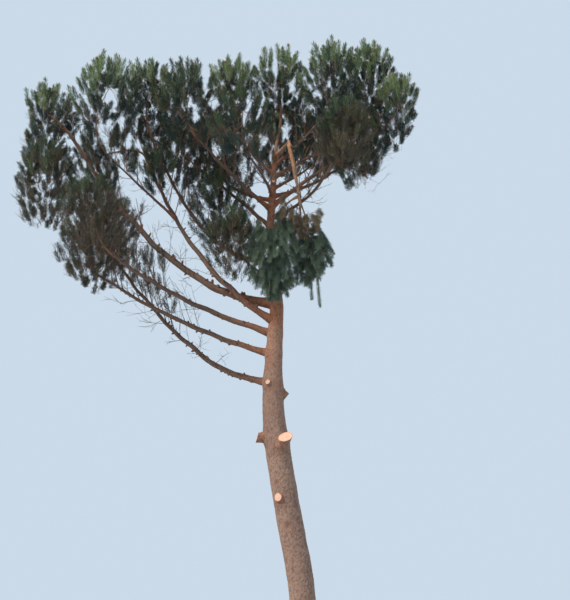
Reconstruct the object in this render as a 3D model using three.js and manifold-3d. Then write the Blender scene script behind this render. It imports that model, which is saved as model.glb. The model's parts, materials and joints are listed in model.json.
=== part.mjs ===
// A tall pine that is being taken down. Millimetres, +Z up, the origin on the ground under the trunk.
// Seen from the front (looking along +Y), its low boughs all sweep up to the left, sawn stubs show where
// the others were, and a flat-topped crown of needle tufts stands above. One cut limb hangs by its hinge.
import * as THREE from "three";
import { mergeVertices } from "three/addons/utils/BufferGeometryUtils.js";
import Module from "manifold-3d";

const wasm = await Module();
wasm.setup();

// Driving dimensions
const CLEARANCE = 0.3; // gap between two solids that meet
const TRUNK_SIDES = 14;
const ROOT_FLARE = 0.4; // share that the foot of the trunk is wider than its straight run
const ROOT_FLARE_HEIGHT = 430;
const ROOT_LOBES = 5;
const COLLAR_SWELL = 0.05; // share that the trunk swells at each whorl
const COLLAR_HALF_HEIGHT = 110;
const COLLAR_HEIGHTS = [7500, 8640, 9240, 9640, 10160];
const BOUGH_STEPS = 7;
const STOUT_BOUGH = 50; // from this radius up a bough has six sides, below it five
const BOUGH_TIP_SHARE = 0.42; // radius at a bough's tip, as a share of its radius at the trunk
const STUB_SIDES = 9;

// The trunk's centre and radius at some heights. It leans left, stands up at the whorl and wavers above it.
const TRUNK = [
  { z: 0, x: 0, y: 0, radius: 280 },
  { z: 1500, x: -8, y: 20, radius: 258 },
  { z: 3000, x: -38, y: 45, radius: 248 },
  { z: 4560, x: -100, y: 60, radius: 240 },
  { z: 5200, x: -180, y: 60, radius: 242 },
  { z: 5860, x: -306, y: 60, radius: 243 },
  { z: 6720, x: -456, y: 40, radius: 240 },
  { z: 7520, x: -580, y: 15, radius: 228 },
  { z: 8310, x: -650, y: 0, radius: 200 },
  { z: 9250, x: -630, y: -10, radius: 160 },
  { z: 10150, x: -578, y: -10, radius: 122 },
  { z: 11000, x: -640, y: 0, radius: 98 },
  { z: 11850, x: -708, y: 10, radius: 82 },
  { z: 12720, x: -664, y: 10, radius: 58 },
  { z: 13520, x: -618, y: 20, radius: 40 },
  { z: 14350, x: -500, y: 60, radius: 24 },
];
const TRUNK_RING_HEIGHTS = [
  0, 140, 320, 600, 1100, 2000, 3100, 4200, 5000, 5700, 6300, 6850, 7300, 7500, 7700, 8150,
  8520, 8640, 8800, 9240, 9440, 9640, 9880, 10160, 10400, 11000, 11600, 12200, 12800, 13400, 13900, 14350,
];

// A bough leaves the trunk at a height. It runs towards azimuth (degrees, 0 to the right, 90 to the back)
// over reach, and climbs by rise, of which the share lift is there from the start and the rest comes as the
// bough turns up. It bows sideways by bend at its middle. A node's name is the row's with bough_ before it.
const BOUGHS = [
  { name: "left_1", height: 8670, azimuth: 161, reach: 3460, rise: 2930, lift: 0.2, bend: -370, radius: 66 },
  { name: "left_2", height: 9220, azimuth: 177, reach: 3470, rise: 1680, lift: 0.63, bend: -90, radius: 60 },
  { name: "left_3", height: 9620, azimuth: 203, reach: 3310, rise: 1140, lift: 1.04, bend: -400, radius: 62 },
  { name: "left_4", height: 9880, azimuth: 169, reach: 2790, rise: 3810, lift: 0.31, bend: 420, radius: 66 },
  { name: "left_5", height: 10260, azimuth: 186, reach: 4090, rise: 3300, lift: 0.08, bend: -180, radius: 84 },
  { name: "left_6", height: 11160, azimuth: 189, reach: 2460, rise: 2450, lift: 0.2, bend: -620, radius: 52 },
  { name: "left_7", height: 11500, azimuth: 142, reach: 900, rise: 560, lift: 0.5, bend: 0, radius: 36 },
  { name: "left_12", height: 10760, azimuth: 214, reach: 700, rise: 240, lift: 0.4, bend: 0, radius: 34 },
  { name: "left_8", height: 11880, azimuth: 149, reach: 1880, rise: 1850, lift: 1.0, bend: -200, radius: 46 },
  { name: "left_9", height: 12270, azimuth: 222, reach: 1960, rise: 980, lift: 0.96, bend: -60, radius: 44 },
  { name: "left_10", height: 13080, azimuth: 168, reach: 760, rise: 950, lift: 0.6, bend: 0, radius: 32 },
  { name: "left_11", height: 12480, azimuth: 124, reach: 2150, rise: 1450, lift: 0.6, bend: 120, radius: 42 },
  { name: "front", height: 12560, azimuth: 252, reach: 1500, rise: 260, lift: 0.3, bend: 60, radius: 36 },
  { name: "back", height: 12920, azimuth: 86, reach: 1640, rise: 1180, lift: 0.6, bend: 60, radius: 38 },
  { name: "right_1", height: 12330, azimuth: 353, reach: 2150, rise: 1500, lift: 1.3, bend: 90, radius: 48 },
  { name: "right_2", height: 12740, azimuth: 47, reach: 1200, rise: 960, lift: 0.8, bend: 0, radius: 36 },
  { name: "right_3", height: 13260, azimuth: 322, reach: 1050, rise: 560, lift: 0.7, bend: 0, radius: 31 },
  { name: "right_4", height: 12980, azimuth: 10, reach: 1800, rise: 1380, lift: 0.9, bend: 0, radius: 38 },
  { name: "right_5", height: 12560, azimuth: 50, reach: 2250, rise: 1500, lift: 0.7, bend: -160, radius: 42 },
  { name: "right_6", height: 12080, azimuth: 309, reach: 1850, rise: 480, lift: 0.6, bend: 180, radius: 40 },
].map((row) => ({ ...row, name: `bough_${row.name}` }));

// Side boughs fork from another bough, at a share of its length.
const SIDE_BOUGHS = [
  {
    name: "side_bough_1", parent: "bough_left_4", share: 0.72,
    azimuth: 218, reach: 1650, rise: 950, lift: 0.9, bend: 0, radius: 30,
  },
  {
    name: "side_bough_2", parent: "bough_left_5", share: 0.74,
    azimuth: 181, reach: 900, rise: 280, lift: 0.2, bend: 80, radius: 32,
  },
  {
    name: "side_bough_3", parent: "bough_right_1", share: 0.6,
    azimuth: 42, reach: 760, rise: -40, lift: 1.2, bend: 0, radius: 26,
  },
  {
    name: "side_bough_4", parent: "bough_left_6", share: 0.62,
    azimuth: 236, reach: 430, rise: 220, lift: 0.6, bend: 0, radius: 22,
  },
];

// The cut limb folds down from the end of its hinge stub, and forks low down.
const HANGING = [
  { name: "hinge_stub", height: 13440, azimuth: 297, reach: 620, rise: 60, lift: 1.6, bend: 0, radius: 52 },
  {
    name: "hanging_limb", parent: "hinge_stub", share: 1,
    azimuth: 318, reach: 290, rise: -1500, lift: 1.1, bend: 40, radius: 50,
  },
  {
    name: "hanging_fork_left", parent: "hanging_limb", share: 0.82,
    azimuth: 196, reach: 440, rise: -420, lift: 0.5, bend: 0, radius: 24,
  },
  {
    name: "hanging_fork_right", parent: "hanging_limb", share: 0.9,
    azimuth: 45, reach: 200, rise: -330, lift: 0.7, bend: 0, radius: 21,
  },
];

// Sawn stubs on the trunk: how high, which way, how long, how thick, how far they point up, how far the saw
// cut tilts from square, and where it tilts to, in degrees round the stub from its top. The first is the big
// one with the broad pale face.
const STUBS = [
  { height: 7310, azimuth: 292, length: 190, radius: 120, climb: 28, cut: 35, side: 80 },
  { height: 6370, azimuth: 240, length: 62, radius: 78, climb: 5, cut: -8, side: 0 },
  { height: 7600, azimuth: 187, length: 130, radius: 96, climb: -6, cut: 20, side: 0 },
  { height: 8560, azimuth: 246, length: 46, radius: 50, climb: 10, cut: 0, side: 0 },
  { height: 8590, azimuth: 12, length: 140, radius: 84, climb: -38, cut: 0, side: 0 },
  { height: 12820, azimuth: 274, length: 60, radius: 36, climb: 15, cut: 0, side: 0 },
  { height: 11880, azimuth: 318, length: 90, radius: 40, climb: 5, cut: 10, side: 0 },
];

// Each mass of foliage: the bough that carries it, and the centre and half sizes of the space it keeps to.
const UPRIGHT_MASSES = [
  { name: "foliage_left_1", on: "bough_left_5", centre: [-5330, 100, 14330], half: [640, 860, 800] },
  { name: "foliage_left_2", on: "side_bough_2", centre: [-5190, -450, 12720], half: [640, 820, 880] },
  { name: "foliage_left_3", on: "bough_left_2", centre: [-4330, 200, 11500], half: [680, 800, 680] },
  { name: "foliage_left_4", on: "side_bough_1", centre: [-3900, -1150, 14280], half: [640, 830, 780] },
  { name: "foliage_left_5", on: "bough_left_4", centre: [-4190, 550, 13640], half: [690, 800, 780] },
  { name: "foliage_left_6", on: "bough_left_1", centre: [-4150, 1250, 12430], half: [600, 760, 780] },
  { name: "foliage_left_7", on: "bough_left_3", centre: [-4020, -1600, 11560], half: [600, 760, 740] },
  { name: "foliage_left_8", on: "bough_left_6", centre: [-3190, 50, 14800], half: [650, 820, 900] },
  { name: "foliage_left_15", on: "side_bough_4", centre: [-2960, -420, 13010], half: [360, 480, 440] },
  { name: "foliage_left_9", on: "bough_left_9", centre: [-2290, -1250, 14100], half: [620, 870, 840] },
  { name: "foliage_left_10", on: "bough_left_8", centre: [-2760, 1250, 14350], half: [680, 780, 760] },
  { name: "foliage_left_11", on: "bough_left_11", centre: [-2080, 2250, 14900], half: [660, 720, 760] },
  { name: "foliage_left_12", on: "bough_left_10", centre: [-1480, 200, 14920], half: [640, 820, 900] },
  { name: "foliage_left_13", on: "bough_left_7", centre: [-1760, 900, 12800], half: [620, 780, 880] },
  { name: "foliage_left_14", on: "bough_left_12", centre: [-1440, -560, 11400], half: [520, 640, 720] },
  { name: "foliage_front", on: "bough_front", centre: [-1220, -1950, 13330], half: [560, 700, 680] },
  { name: "foliage_top", on: "trunk", centre: [-560, 350, 15220], half: [600, 820, 950] },
  { name: "foliage_back", on: "bough_back", centre: [-530, 2200, 14950], half: [640, 740, 780] },
  { name: "foliage_right_1", on: "bough_right_3", centre: [520, -880, 14660], half: [560, 820, 910] },
  { name: "foliage_right_2", on: "bough_right_2", centre: [440, 1100, 14440], half: [580, 720, 720] },
  { name: "foliage_right_3", on: "bough_right_4", centre: [1380, 400, 15320], half: [580, 820, 1010] },
  { name: "foliage_right_4", on: "bough_right_5", centre: [1090, 2150, 15000], half: [640, 700, 760] },
  { name: "foliage_right_5", on: "bough_right_6", centre: [720, -1800, 13170], half: [500, 620, 680] },
  { name: "foliage_right_6", on: "bough_right_1", centre: [1860, -480, 14250], half: [510, 780, 790] },
  { name: "foliage_right_7", on: "side_bough_3", centre: [1250, 650, 13680], half: [540, 660, 560] },
];

// Masses on the hanging limb, which grow downwards
const HANGING_MASSES = [
  { name: "foliage_hanging_1", on: "hanging_fork_left", centre: [-620, -940, 10790], half: [470, 500, 860] },
  { name: "foliage_hanging_2", on: "hanging_limb", centre: [-150, -1000, 11660], half: [430, 450, 500] },
  { name: "foliage_hanging_3", on: "hanging_fork_right", centre: [130, -640, 10860], half: [350, 440, 580] },
];
const MASSES = [
  ...UPRIGHT_MASSES.map((mass) => ({ ...mass, way: 1 })),
  ...HANGING_MASSES.map((mass) => ({ ...mass, way: -1 })),
];

// The rule by which a mass grows, from its stem to its tufts of needles
const TIPS_PER_SQUARE_METRE = 4.2; // of the mass's own outside, before those without room are left out
const TUFT_LENGTH = 650;
const TUFT_WIDTH = 440;
const HANGING_TUFTS = 0.68; // the size of the tufts on the hanging limb, as a share of the others
const TUFT_NECK = 12; // radius where the twig turns into the tuft's core
const TUFT_CORE_SHARE = 0.24; // of the tuft's width, the core's radius
const TUFT_SPACING = 0.7; // how near two tufts may come, as a share of their width
const LEAST_TWIG = 0.3; // of the way from joint to tip, the least that is bare twig
const SHORTEST_TUFT = 0.6;
const GOLDEN_ANGLE = Math.PI * (3 - Math.sqrt(5));
const LOWEST_TIP = -0.62; // the tips run from the top of the space down to this share of it
const OUTER_DEPTH = 0.94; // where the tips end, as a share of the way out to the edge of the space
const INNER_DEPTH = 0.6;
const EDGE_DEPTH = 1.08; // how far a needle may stand out of the space
const NEIGHBOUR_GAP = 0.04; // how much nearer its own space than the next one a needle stays, in shares
const LIMB_GAP = 25;
const UPWARD_PULL = 0.9; // how strongly a tuft's heading is up, against outwards
const TURN = 0.5; // how far a twig turns from its own run to that heading
const SHARPEST_TURN = 0.2; // cosine of the widest angle between the two
const DETOUR_COST = 0.3; // what a longer way along the twigs counts against a nearer joint
const TWIG_RADIUS = 20;
const ROOT_SHARE = 0.6; // a twig's radius at its root, as a share of the radius there of what it grows from
const STEM_STEPS = 4;
const STEM_SIDES = 5;

const UP = new THREE.Vector3(0, 0, 1);
const bark = { color: 0x8a6a50, roughness: 0.95, metalness: 0 };
const upperBark = { color: 0xa0623a, roughness: 0.9, metalness: 0 };
const needles = { color: 0x3c5230, roughness: 0.75, metalness: 0 };

// The same numbers each run, from 0 to 1
function seeded(seed) {
  let state = seed;
  return () => {
    state = (state * 16807) % 2147483647;
    return state / 2147483647;
  };
}

// The value of one key of the trunk's rows at a height, by a smooth cubic through the rows
function trunkValue(key, z) {
  const last = TRUNK.length - 2;
  let i = 0;
  while (i < last && TRUNK[i + 1].z < z) i++;
  const slope = (j) => {
    const a = TRUNK[Math.max(j - 1, 0)];
    const b = TRUNK[Math.min(j + 1, TRUNK.length - 1)];
    return (b[key] - a[key]) / (b.z - a.z);
  };
  const span = TRUNK[i + 1].z - TRUNK[i].z;
  const t = (z - TRUNK[i].z) / span;
  const rest = 1 - t;
  return (
    TRUNK[i][key] * rest * rest * (1 + 2 * t) +
    TRUNK[i + 1][key] * t * t * (3 - 2 * t) +
    span * t * rest * (slope(i) * rest - slope(i + 1) * t)
  );
}

function trunkCentre(z) {
  return new THREE.Vector3(trunkValue("x", z), trunkValue("y", z), z);
}

// The trunk's radius at a height and an angle round it, with the root flare and the swelling at each whorl
function trunkRadius(z, angle) {
  const flare = ROOT_FLARE * Math.exp(-z / ROOT_FLARE_HEIGHT);
  const lobes = 1 + 0.35 * Math.cos(ROOT_LOBES * angle + 0.7);
  const swell = COLLAR_HEIGHTS.reduce((sum, h) => sum + Math.exp(-(((z - h) / COLLAR_HALF_HEIGHT) ** 2)), 0);
  return trunkValue("radius", z) * (1 + flare * lobes + COLLAR_SWELL * swell);
}

// A closed solid from rings of points, each ring running round in the same direction, with flat ends
function solidFromRings(rings) {
  const sides = rings[0].length;
  const faces = [];
  for (let k = 1; k < sides - 1; k++) {
    faces.push([0, k + 1, k]);
    const top = (rings.length - 1) * sides;
    faces.push([top, top + k, top + k + 1]);
  }
  for (let i = 0; i < rings.length - 1; i++) {
    for (let k = 0; k < sides; k++) {
      const a = i * sides + k;
      const b = i * sides + ((k + 1) % sides);
      faces.push([a, b, b + sides], [a, b + sides, a + sides]);
    }
  }
  return solidFromFaces(rings.flat(), faces);
}

function solidFromFaces(points, faces) {
  const positions = new Float32Array(faces.flat().flatMap((i) => points[i].toArray()));
  const geometry = new THREE.BufferGeometry();
  geometry.setAttribute("position", new THREE.BufferAttribute(positions, 3));
  const merged = mergeVertices(geometry, 1e-3);
  return new wasm.Manifold(
    new wasm.Mesh({
      numProp: 3,
      vertProperties: merged.attributes.position.array,
      triVerts: new Uint32Array(merged.index.array),
    }),
  );
}

// Two directions square to a heading, which turn as little as they can from the ones before
function squareTo(heading, before) {
  const guess = before ?? (Math.abs(heading.z) > 0.9 ? new THREE.Vector3(1, 0, 0) : UP);
  const across = guess.clone().addScaledVector(heading, -guess.dot(heading)).normalize();
  return [across, heading.clone().cross(across)];
}

// A ring of points round a centre, in the plane of two directions
function ringOf(centre, u, v, radius, sides) {
  return Array.from({ length: sides }, (_, k) => {
    const angle = (2 * Math.PI * k) / sides;
    const point = centre.clone().addScaledVector(u, radius * Math.cos(angle));
    return point.addScaledVector(v, radius * Math.sin(angle));
  });
}

// The rings of a round tube along a path of points
function tubeRings(path, radiusAt, sides) {
  let across;
  return path.map((point, i) => {
    const heading = path[Math.min(i + 1, path.length - 1)].clone().sub(path[Math.max(i - 1, 0)]).normalize();
    const [u, v] = squareTo(heading, across);
    across = u;
    return ringOf(point, u, v, radiusAt(i / (path.length - 1)), sides);
  });
}

function makeTrunk(extra) {
  const rings = TRUNK_RING_HEIGHTS.map((z) => {
    const centre = trunkCentre(z);
    return Array.from({ length: TRUNK_SIDES }, (_, k) => {
      const angle = (2 * Math.PI * k) / TRUNK_SIDES;
      const r = trunkRadius(z, angle) + extra;
      return new THREE.Vector3(centre.x + r * Math.cos(angle), centre.y + r * Math.sin(angle), z);
    });
  });
  return solidFromRings(rings);
}

// Where a bough runs: a point at each step, from the middle of what it grows out of
function boughPath(bough, limbs) {
  const parent = limbs.get(bough.parent);
  const start = parent ? pointOn(parent.path, bough.share) : trunkCentre(bough.height);
  const angle = THREE.MathUtils.degToRad(bough.azimuth);
  const along = new THREE.Vector3(Math.cos(angle), Math.sin(angle), 0);
  const sideways = new THREE.Vector3(-Math.sin(angle), Math.cos(angle), 0);
  return Array.from({ length: BOUGH_STEPS + 1 }, (_, i) => {
    const t = i / BOUGH_STEPS;
    return start
      .clone()
      .addScaledVector(along, bough.reach * t)
      .addScaledVector(sideways, bough.bend * 4 * t * (1 - t))
      .addScaledVector(UP, bough.rise * (bough.lift * t + (1 - bough.lift) * t * t));
  });
}

function pointOn(path, share) {
  const at = share * (path.length - 1);
  const i = Math.min(Math.floor(at), path.length - 2);
  return path[i].clone().lerp(path[i + 1], at - i);
}

function boughSides(bough) {
  return bough.radius < STOUT_BOUGH ? 5 : 6;
}

function boughRadius(bough, t) {
  return bough.radius * (1 - (1 - BOUGH_TIP_SHARE) * t);
}

// A bough's tube, cut clear of what it grows out of, and the end that its foliage grows from
function makeBough(bough, limbs, trunkWithGap) {
  const path = boughPath(bough, limbs);
  const parent = limbs.get(bough.parent);
  if (parent && bough.share === 1) {
    // This one carries on past its parent's tip, a gap away from it.
    const heading = path[1].clone().sub(path[0]).normalize();
    path[0].addScaledVector(heading, boughRadius(parent.bough, 1) + CLEARANCE);
  }
  const tube = solidFromRings(tubeRings(path, (t) => boughRadius(bough, t), boughSides(bough)));
  let solid = tube;
  if (!parent) solid = tube.subtract(trunkWithGap);
  else if (bough.share < 1) solid = tube.subtract(grownTube(parent));
  return { bough, path, solid: largest(solid), radiusAt: (t) => boughRadius(bough, t) };
}

function grownTube(limb) {
  const radiusAt = (t) => limb.radiusAt(t) + 2 * CLEARANCE;
  return solidFromRings(tubeRings(limb.path, radiusAt, boughSides(limb.bough)));
}

// The biggest piece of a solid, with any loose scrap left out
function largest(solid) {
  return solid.decompose().reduce((best, piece) => (piece.volume() > best.volume() ? piece : best));
}

// A stub runs out of the trunk, swollen at its root, and ends in a flat saw cut
function makeStub(stub) {
  const angle = THREE.MathUtils.degToRad(stub.azimuth);
  const climb = THREE.MathUtils.degToRad(stub.climb);
  const heading = new THREE.Vector3(
    Math.cos(angle) * Math.cos(climb),
    Math.sin(angle) * Math.cos(climb),
    Math.sin(climb),
  );
  const [u, v] = squareTo(heading);
  const start = trunkCentre(stub.height);
  const skin = trunkRadius(stub.height, angle);
  const slant = Math.tan(THREE.MathUtils.degToRad(stub.cut));
  const side = THREE.MathUtils.degToRad(stub.side);
  const stations = [
    { at: skin * 0.5, wide: 1.32, slanted: 0 },
    { at: skin, wide: 1.24, slanted: 0 },
    { at: skin + stub.length * 0.45, wide: 1.02, slanted: 0 },
    { at: skin + stub.length, wide: 0.96, slanted: 1 },
  ];
  const rings = stations.map(({ at, wide, slanted }) =>
    Array.from({ length: STUB_SIDES }, (_, k) => {
      const turn = (2 * Math.PI * k) / STUB_SIDES;
      const r = stub.radius * wide;
      const back = slanted * slant * r * Math.cos(turn - side);
      return start
        .clone()
        .addScaledVector(heading, at - back)
        .addScaledVector(u, r * Math.cos(turn))
        .addScaledVector(v, r * Math.sin(turn));
    }),
  );
  return solidFromRings(rings);
}

// How far out of a mass's space a point is: 0 at its centre, 1 at its edge
function depthIn(mass, point) {
  return Math.hypot(...["x", "y", "z"].map((axis, i) => (point[axis] - mass.centre[i]) / mass.half[i]));
}

function distanceToPath(point, limb) {
  let least = Infinity;
  for (let i = 0; i < limb.path.length - 1; i++) {
    const a = limb.path[i];
    const run = limb.path[i + 1].clone().sub(a);
    const t = THREE.MathUtils.clamp(point.clone().sub(a).dot(run) / run.lengthSq(), 0, 1);
    const r = limb.radiusAt((i + t) / (limb.path.length - 1));
    least = Math.min(least, point.distanceTo(a.clone().addScaledVector(run, t)) - r);
  }
  return least;
}

// Whether every one of these points is in the mass's own space and clear of the limbs
function isFree(points, mass, limbs) {
  return points.every((point) => {
    const own = depthIn(mass, point);
    if (own > EDGE_DEPTH) return false;
    if (MASSES.some((other) => other !== mass && depthIn(other, point) < own + NEIGHBOUR_GAP)) return false;
    return [...limbs.values()].every((limb) => distanceToPath(point, limb) > LIMB_GAP + TUFT_NECK);
  });
}

// Where the needle tufts of a mass end and which way they point, evenly spread by the golden angle
function tuftTips(mass, random) {
  const [a, b, c] = mass.half.map((h) => h / 1000);
  const outside = 4 * Math.PI * Math.cbrt((a * b * c) ** 2);
  const scale = mass.way < 0 ? HANGING_TUFTS : 1;
  const count = Math.round((outside * TIPS_PER_SQUARE_METRE) / scale ** 2);
  const centre = new THREE.Vector3(...mass.centre);
  const half = new THREE.Vector3(...mass.half);
  const turn = random() * 2 * Math.PI;
  return Array.from({ length: count }, (_, i) => {
    const high = 1 - (1 - LOWEST_TIP) * ((i + 0.35) / count);
    const ring = Math.sqrt(1 - high * high);
    const angle = turn + i * GOLDEN_ANGLE + (random() - 0.5) * 0.5;
    const depth = (i % 4 === 3 ? INNER_DEPTH : OUTER_DEPTH) + (random() - 0.5) * 0.12;
    const out = new THREE.Vector3(ring * Math.cos(angle), ring * Math.sin(angle), high * mass.way);
    const tip = centre.clone().addScaledVector(out.clone().multiply(half), depth);
    const heading = out.clone().addScaledVector(UP, mass.way * UPWARD_PULL).normalize();
    return { tip, heading, size: scale * (0.88 + 0.24 * random()) };
  });
}

// The stem of a mass and the twigs that branch from it, each ending in a tuft
function growMass(mass, start, heading, radius, limbs) {
  const random = seeded(1009 + 7919 * MASSES.indexOf(mass));
  const centre = new THREE.Vector3(...mass.centre);
  const end = centre.clone().addScaledVector(UP, mass.way * 0.15 * mass.half[2]);
  const bow = start.clone().addScaledVector(heading, start.distanceTo(end) * 0.45);
  const stem = new THREE.QuadraticBezierCurve3(start, bow, end).getPoints(STEM_STEPS);
  const joints = [];
  stem.slice(1).forEach((point, i) => {
    const share = (i + 1) / STEM_STEPS;
    joints.push({ point, way: start.distanceTo(point), radius: radius * (1 - 0.5 * share) });
  });
  const tips = tuftTips(mass, random);
  tips.sort((p, q) => p.tip.distanceTo(start) - q.tip.distanceTo(start));
  const twigs = [];
  for (const { tip, heading: pull, size } of tips) {
    const run = (joint) => tip.clone().sub(joint.point);
    const cost = (joint) => run(joint).length() + DETOUR_COST * joint.way;
    const suits = (joint) => {
      const far = run(joint).length();
      return far > TUFT_LENGTH * SHORTEST_TUFT * size && run(joint).dot(pull) > SHARPEST_TURN * far;
    };
    const joint = joints.filter(suits).sort((p, q) => cost(p) - cost(q))[0];
    if (!joint) continue;
    const aim = run(joint).normalize().addScaledVector(pull, TURN).normalize();
    const length = Math.min(TUFT_LENGTH * size, run(joint).length() * (1 - LEAST_TWIG));
    const neck = tip.clone().addScaledVector(aim, -length);
    const tuft = tuftPoints(neck, aim, length, TUFT_WIDTH * size);
    const middle = joint.point.clone().lerp(neck, 0.6);
    if (twigs.some((other) => tuftDistance(other.tuft, tuft) < TUFT_SPACING * TUFT_WIDTH * size)) continue;
    if (!isFree([middle, neck, ...tuft.reach], mass, limbs)) continue;
    const thick = Math.min(TWIG_RADIUS, joint.radius * ROOT_SHARE);
    twigs.push({ path: [joint.point, neck], thick, tuft });
    const way = joint.way + joint.point.distanceTo(middle);
    joints.push({ point: middle, way, radius: (thick + TUFT_NECK) / 2 });
  }
  return { stem, twigs };
}

// How near two tufts come to each other, from a few points along each
function tuftDistance(one, other) {
  return Math.min(...one.axis.flatMap((p) => other.axis.map((q) => p.distanceTo(q))));
}

// A tuft: a slim three-sided core from the twig's end, with a needle standing out of each of its faces
function tuftPoints(neck, aim, length, width) {
  const [u, v] = squareTo(aim);
  const at = (share, radius, angle) =>
    neck
      .clone()
      .addScaledVector(aim, share * length)
      .addScaledVector(u, radius * Math.cos(angle))
      .addScaledVector(v, radius * Math.sin(angle));
  const third = (2 * Math.PI) / 3;
  const corners = [0, 1, 2];
  const base = corners.map((k) => at(0, TUFT_NECK, k * third));
  const waist = corners.map((k) => at(0.42, TUFT_CORE_SHARE * width, (k + 0.5) * third));
  const apex = at(1, 0, 0);
  const low = corners.map((k) => at(0.6, 0.5 * width, (k + 0.5) * third));
  const high = corners.map((k) => at(0.93, 0.34 * width, (k + 1) * third));
  const axis = [0.3, 0.55, 0.8, 1].map((share) => at(share, 0, 0));
  const spikes = [...low, ...high];
  const inner = spikes.map((point, i) => point.clone().lerp(axis[i < 3 ? 1 : 2], 0.5));
  return { base, waist, apex, low, high, axis, reach: [...axis, ...waist, ...spikes, ...inner] };
}

// The solid of one twig with its tuft, as one closed skin
function twigSolid({ path, thick, tuft }) {
  const points = [];
  const faces = [];
  const add = (list) => {
    points.push(...list);
    return list.map((_, i) => points.length - list.length + i);
  };
  const heading = path[1].clone().sub(path[0]).normalize();
  const [u, v] = squareTo(heading, tuft.base[0].clone().sub(path[1]));
  const start = add(ringOf(path[0], u, v, thick, 3));
  const base = add(tuft.base);
  const spike = (a, b, c, tip) => {
    const [t] = add([tip]);
    faces.push([a, b, t], [b, c, t], [c, a, t]);
  };
  const waist = add(tuft.waist);
  const [apex] = add([tuft.apex]);
  faces.push([start[0], start[2], start[1]]);
  for (let k = 0; k < 3; k++) {
    const n = (k + 1) % 3;
    faces.push([start[k], start[n], base[n]], [start[k], base[n], base[k]]);
    faces.push([base[n], waist[n], waist[k]]);
    spike(base[k], base[n], waist[k], tuft.low[k]);
    spike(waist[k], waist[n], apex, tuft.high[k]);
  }
  return solidFromFaces(points, faces);
}

function makeMass(mass, limbs) {
  const carrier = limbs.get(mass.on);
  const path = carrier.path;
  const heading = carrier.endHeading ?? path.at(-1).clone().sub(path.at(-2)).normalize();
  const start = path.at(-1).clone().addScaledVector(heading, CLEARANCE);
  const radius = carrier.radiusAt(1);
  const { stem, twigs } = growMass(mass, start, heading, radius, limbs);
  const stemRings = tubeRings(stem, (t) => radius * (1 - 0.5 * t), STEM_SIDES);
  // The first ring is square to the bough's tip, so that the two flat ends face each other.
  const [u, v] = squareTo(heading);
  stemRings[0] = ringOf(start, u, v, radius, STEM_SIDES);
  const whole = wasm.Manifold.union([solidFromRings(stemRings), ...twigs.map(twigSolid)]);
  return largest(whole);
}

function meshOf(name, solid, finish) {
  const { numProp, vertProperties, triVerts } = solid.getMesh();
  const positions = new Float32Array((vertProperties.length / numProp) * 3);
  for (let i = 0; i < positions.length / 3; i++) {
    positions.set(vertProperties.subarray(i * numProp, i * numProp + 3), i * 3);
  }
  const geometry = new THREE.BufferGeometry();
  geometry.setAttribute("position", new THREE.BufferAttribute(positions, 3));
  geometry.setIndex(new THREE.BufferAttribute(triVerts, 1));
  geometry.computeVertexNormals();
  const mesh = new THREE.Mesh(geometry, new THREE.MeshStandardMaterial({ ...finish, flatShading: true }));
  mesh.name = name;
  return mesh;
}

const tree = new THREE.Group();
const trunkWithGap = makeTrunk(CLEARANCE);
tree.add(meshOf("trunk", wasm.Manifold.union([makeTrunk(0), ...STUBS.map(makeStub)]), bark));

const limbs = new Map();
const trunkPath = TRUNK_RING_HEIGHTS.map(trunkCentre);
const trunkTop = TRUNK_RING_HEIGHTS.length - 1;
const trunkLimb = {
  path: trunkPath,
  endHeading: UP,
  radiusAt: (t) => trunkRadius(THREE.MathUtils.lerp(...bracket(t * trunkTop)), 0),
};

// The two ring heights either side of a place in their list, and how far it is between them
function bracket(at) {
  const i = Math.min(Math.floor(at), trunkTop - 1);
  return [TRUNK_RING_HEIGHTS[i], TRUNK_RING_HEIGHTS[i + 1], at - i];
}

for (const bough of [...BOUGHS, ...SIDE_BOUGHS, ...HANGING]) {
  const limb = makeBough(bough, limbs, trunkWithGap);
  limbs.set(bough.name, limb);
  tree.add(meshOf(bough.name, limb.solid, upperBark));
}
limbs.set("trunk", trunkLimb);
for (const mass of MASSES) {
  tree.add(meshOf(mass.name, makeMass(mass, limbs), needles));
}

export default tree;
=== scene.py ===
import json
import math
from types import SimpleNamespace

import bpy
import numpy as np
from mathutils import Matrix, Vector, noise

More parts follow.
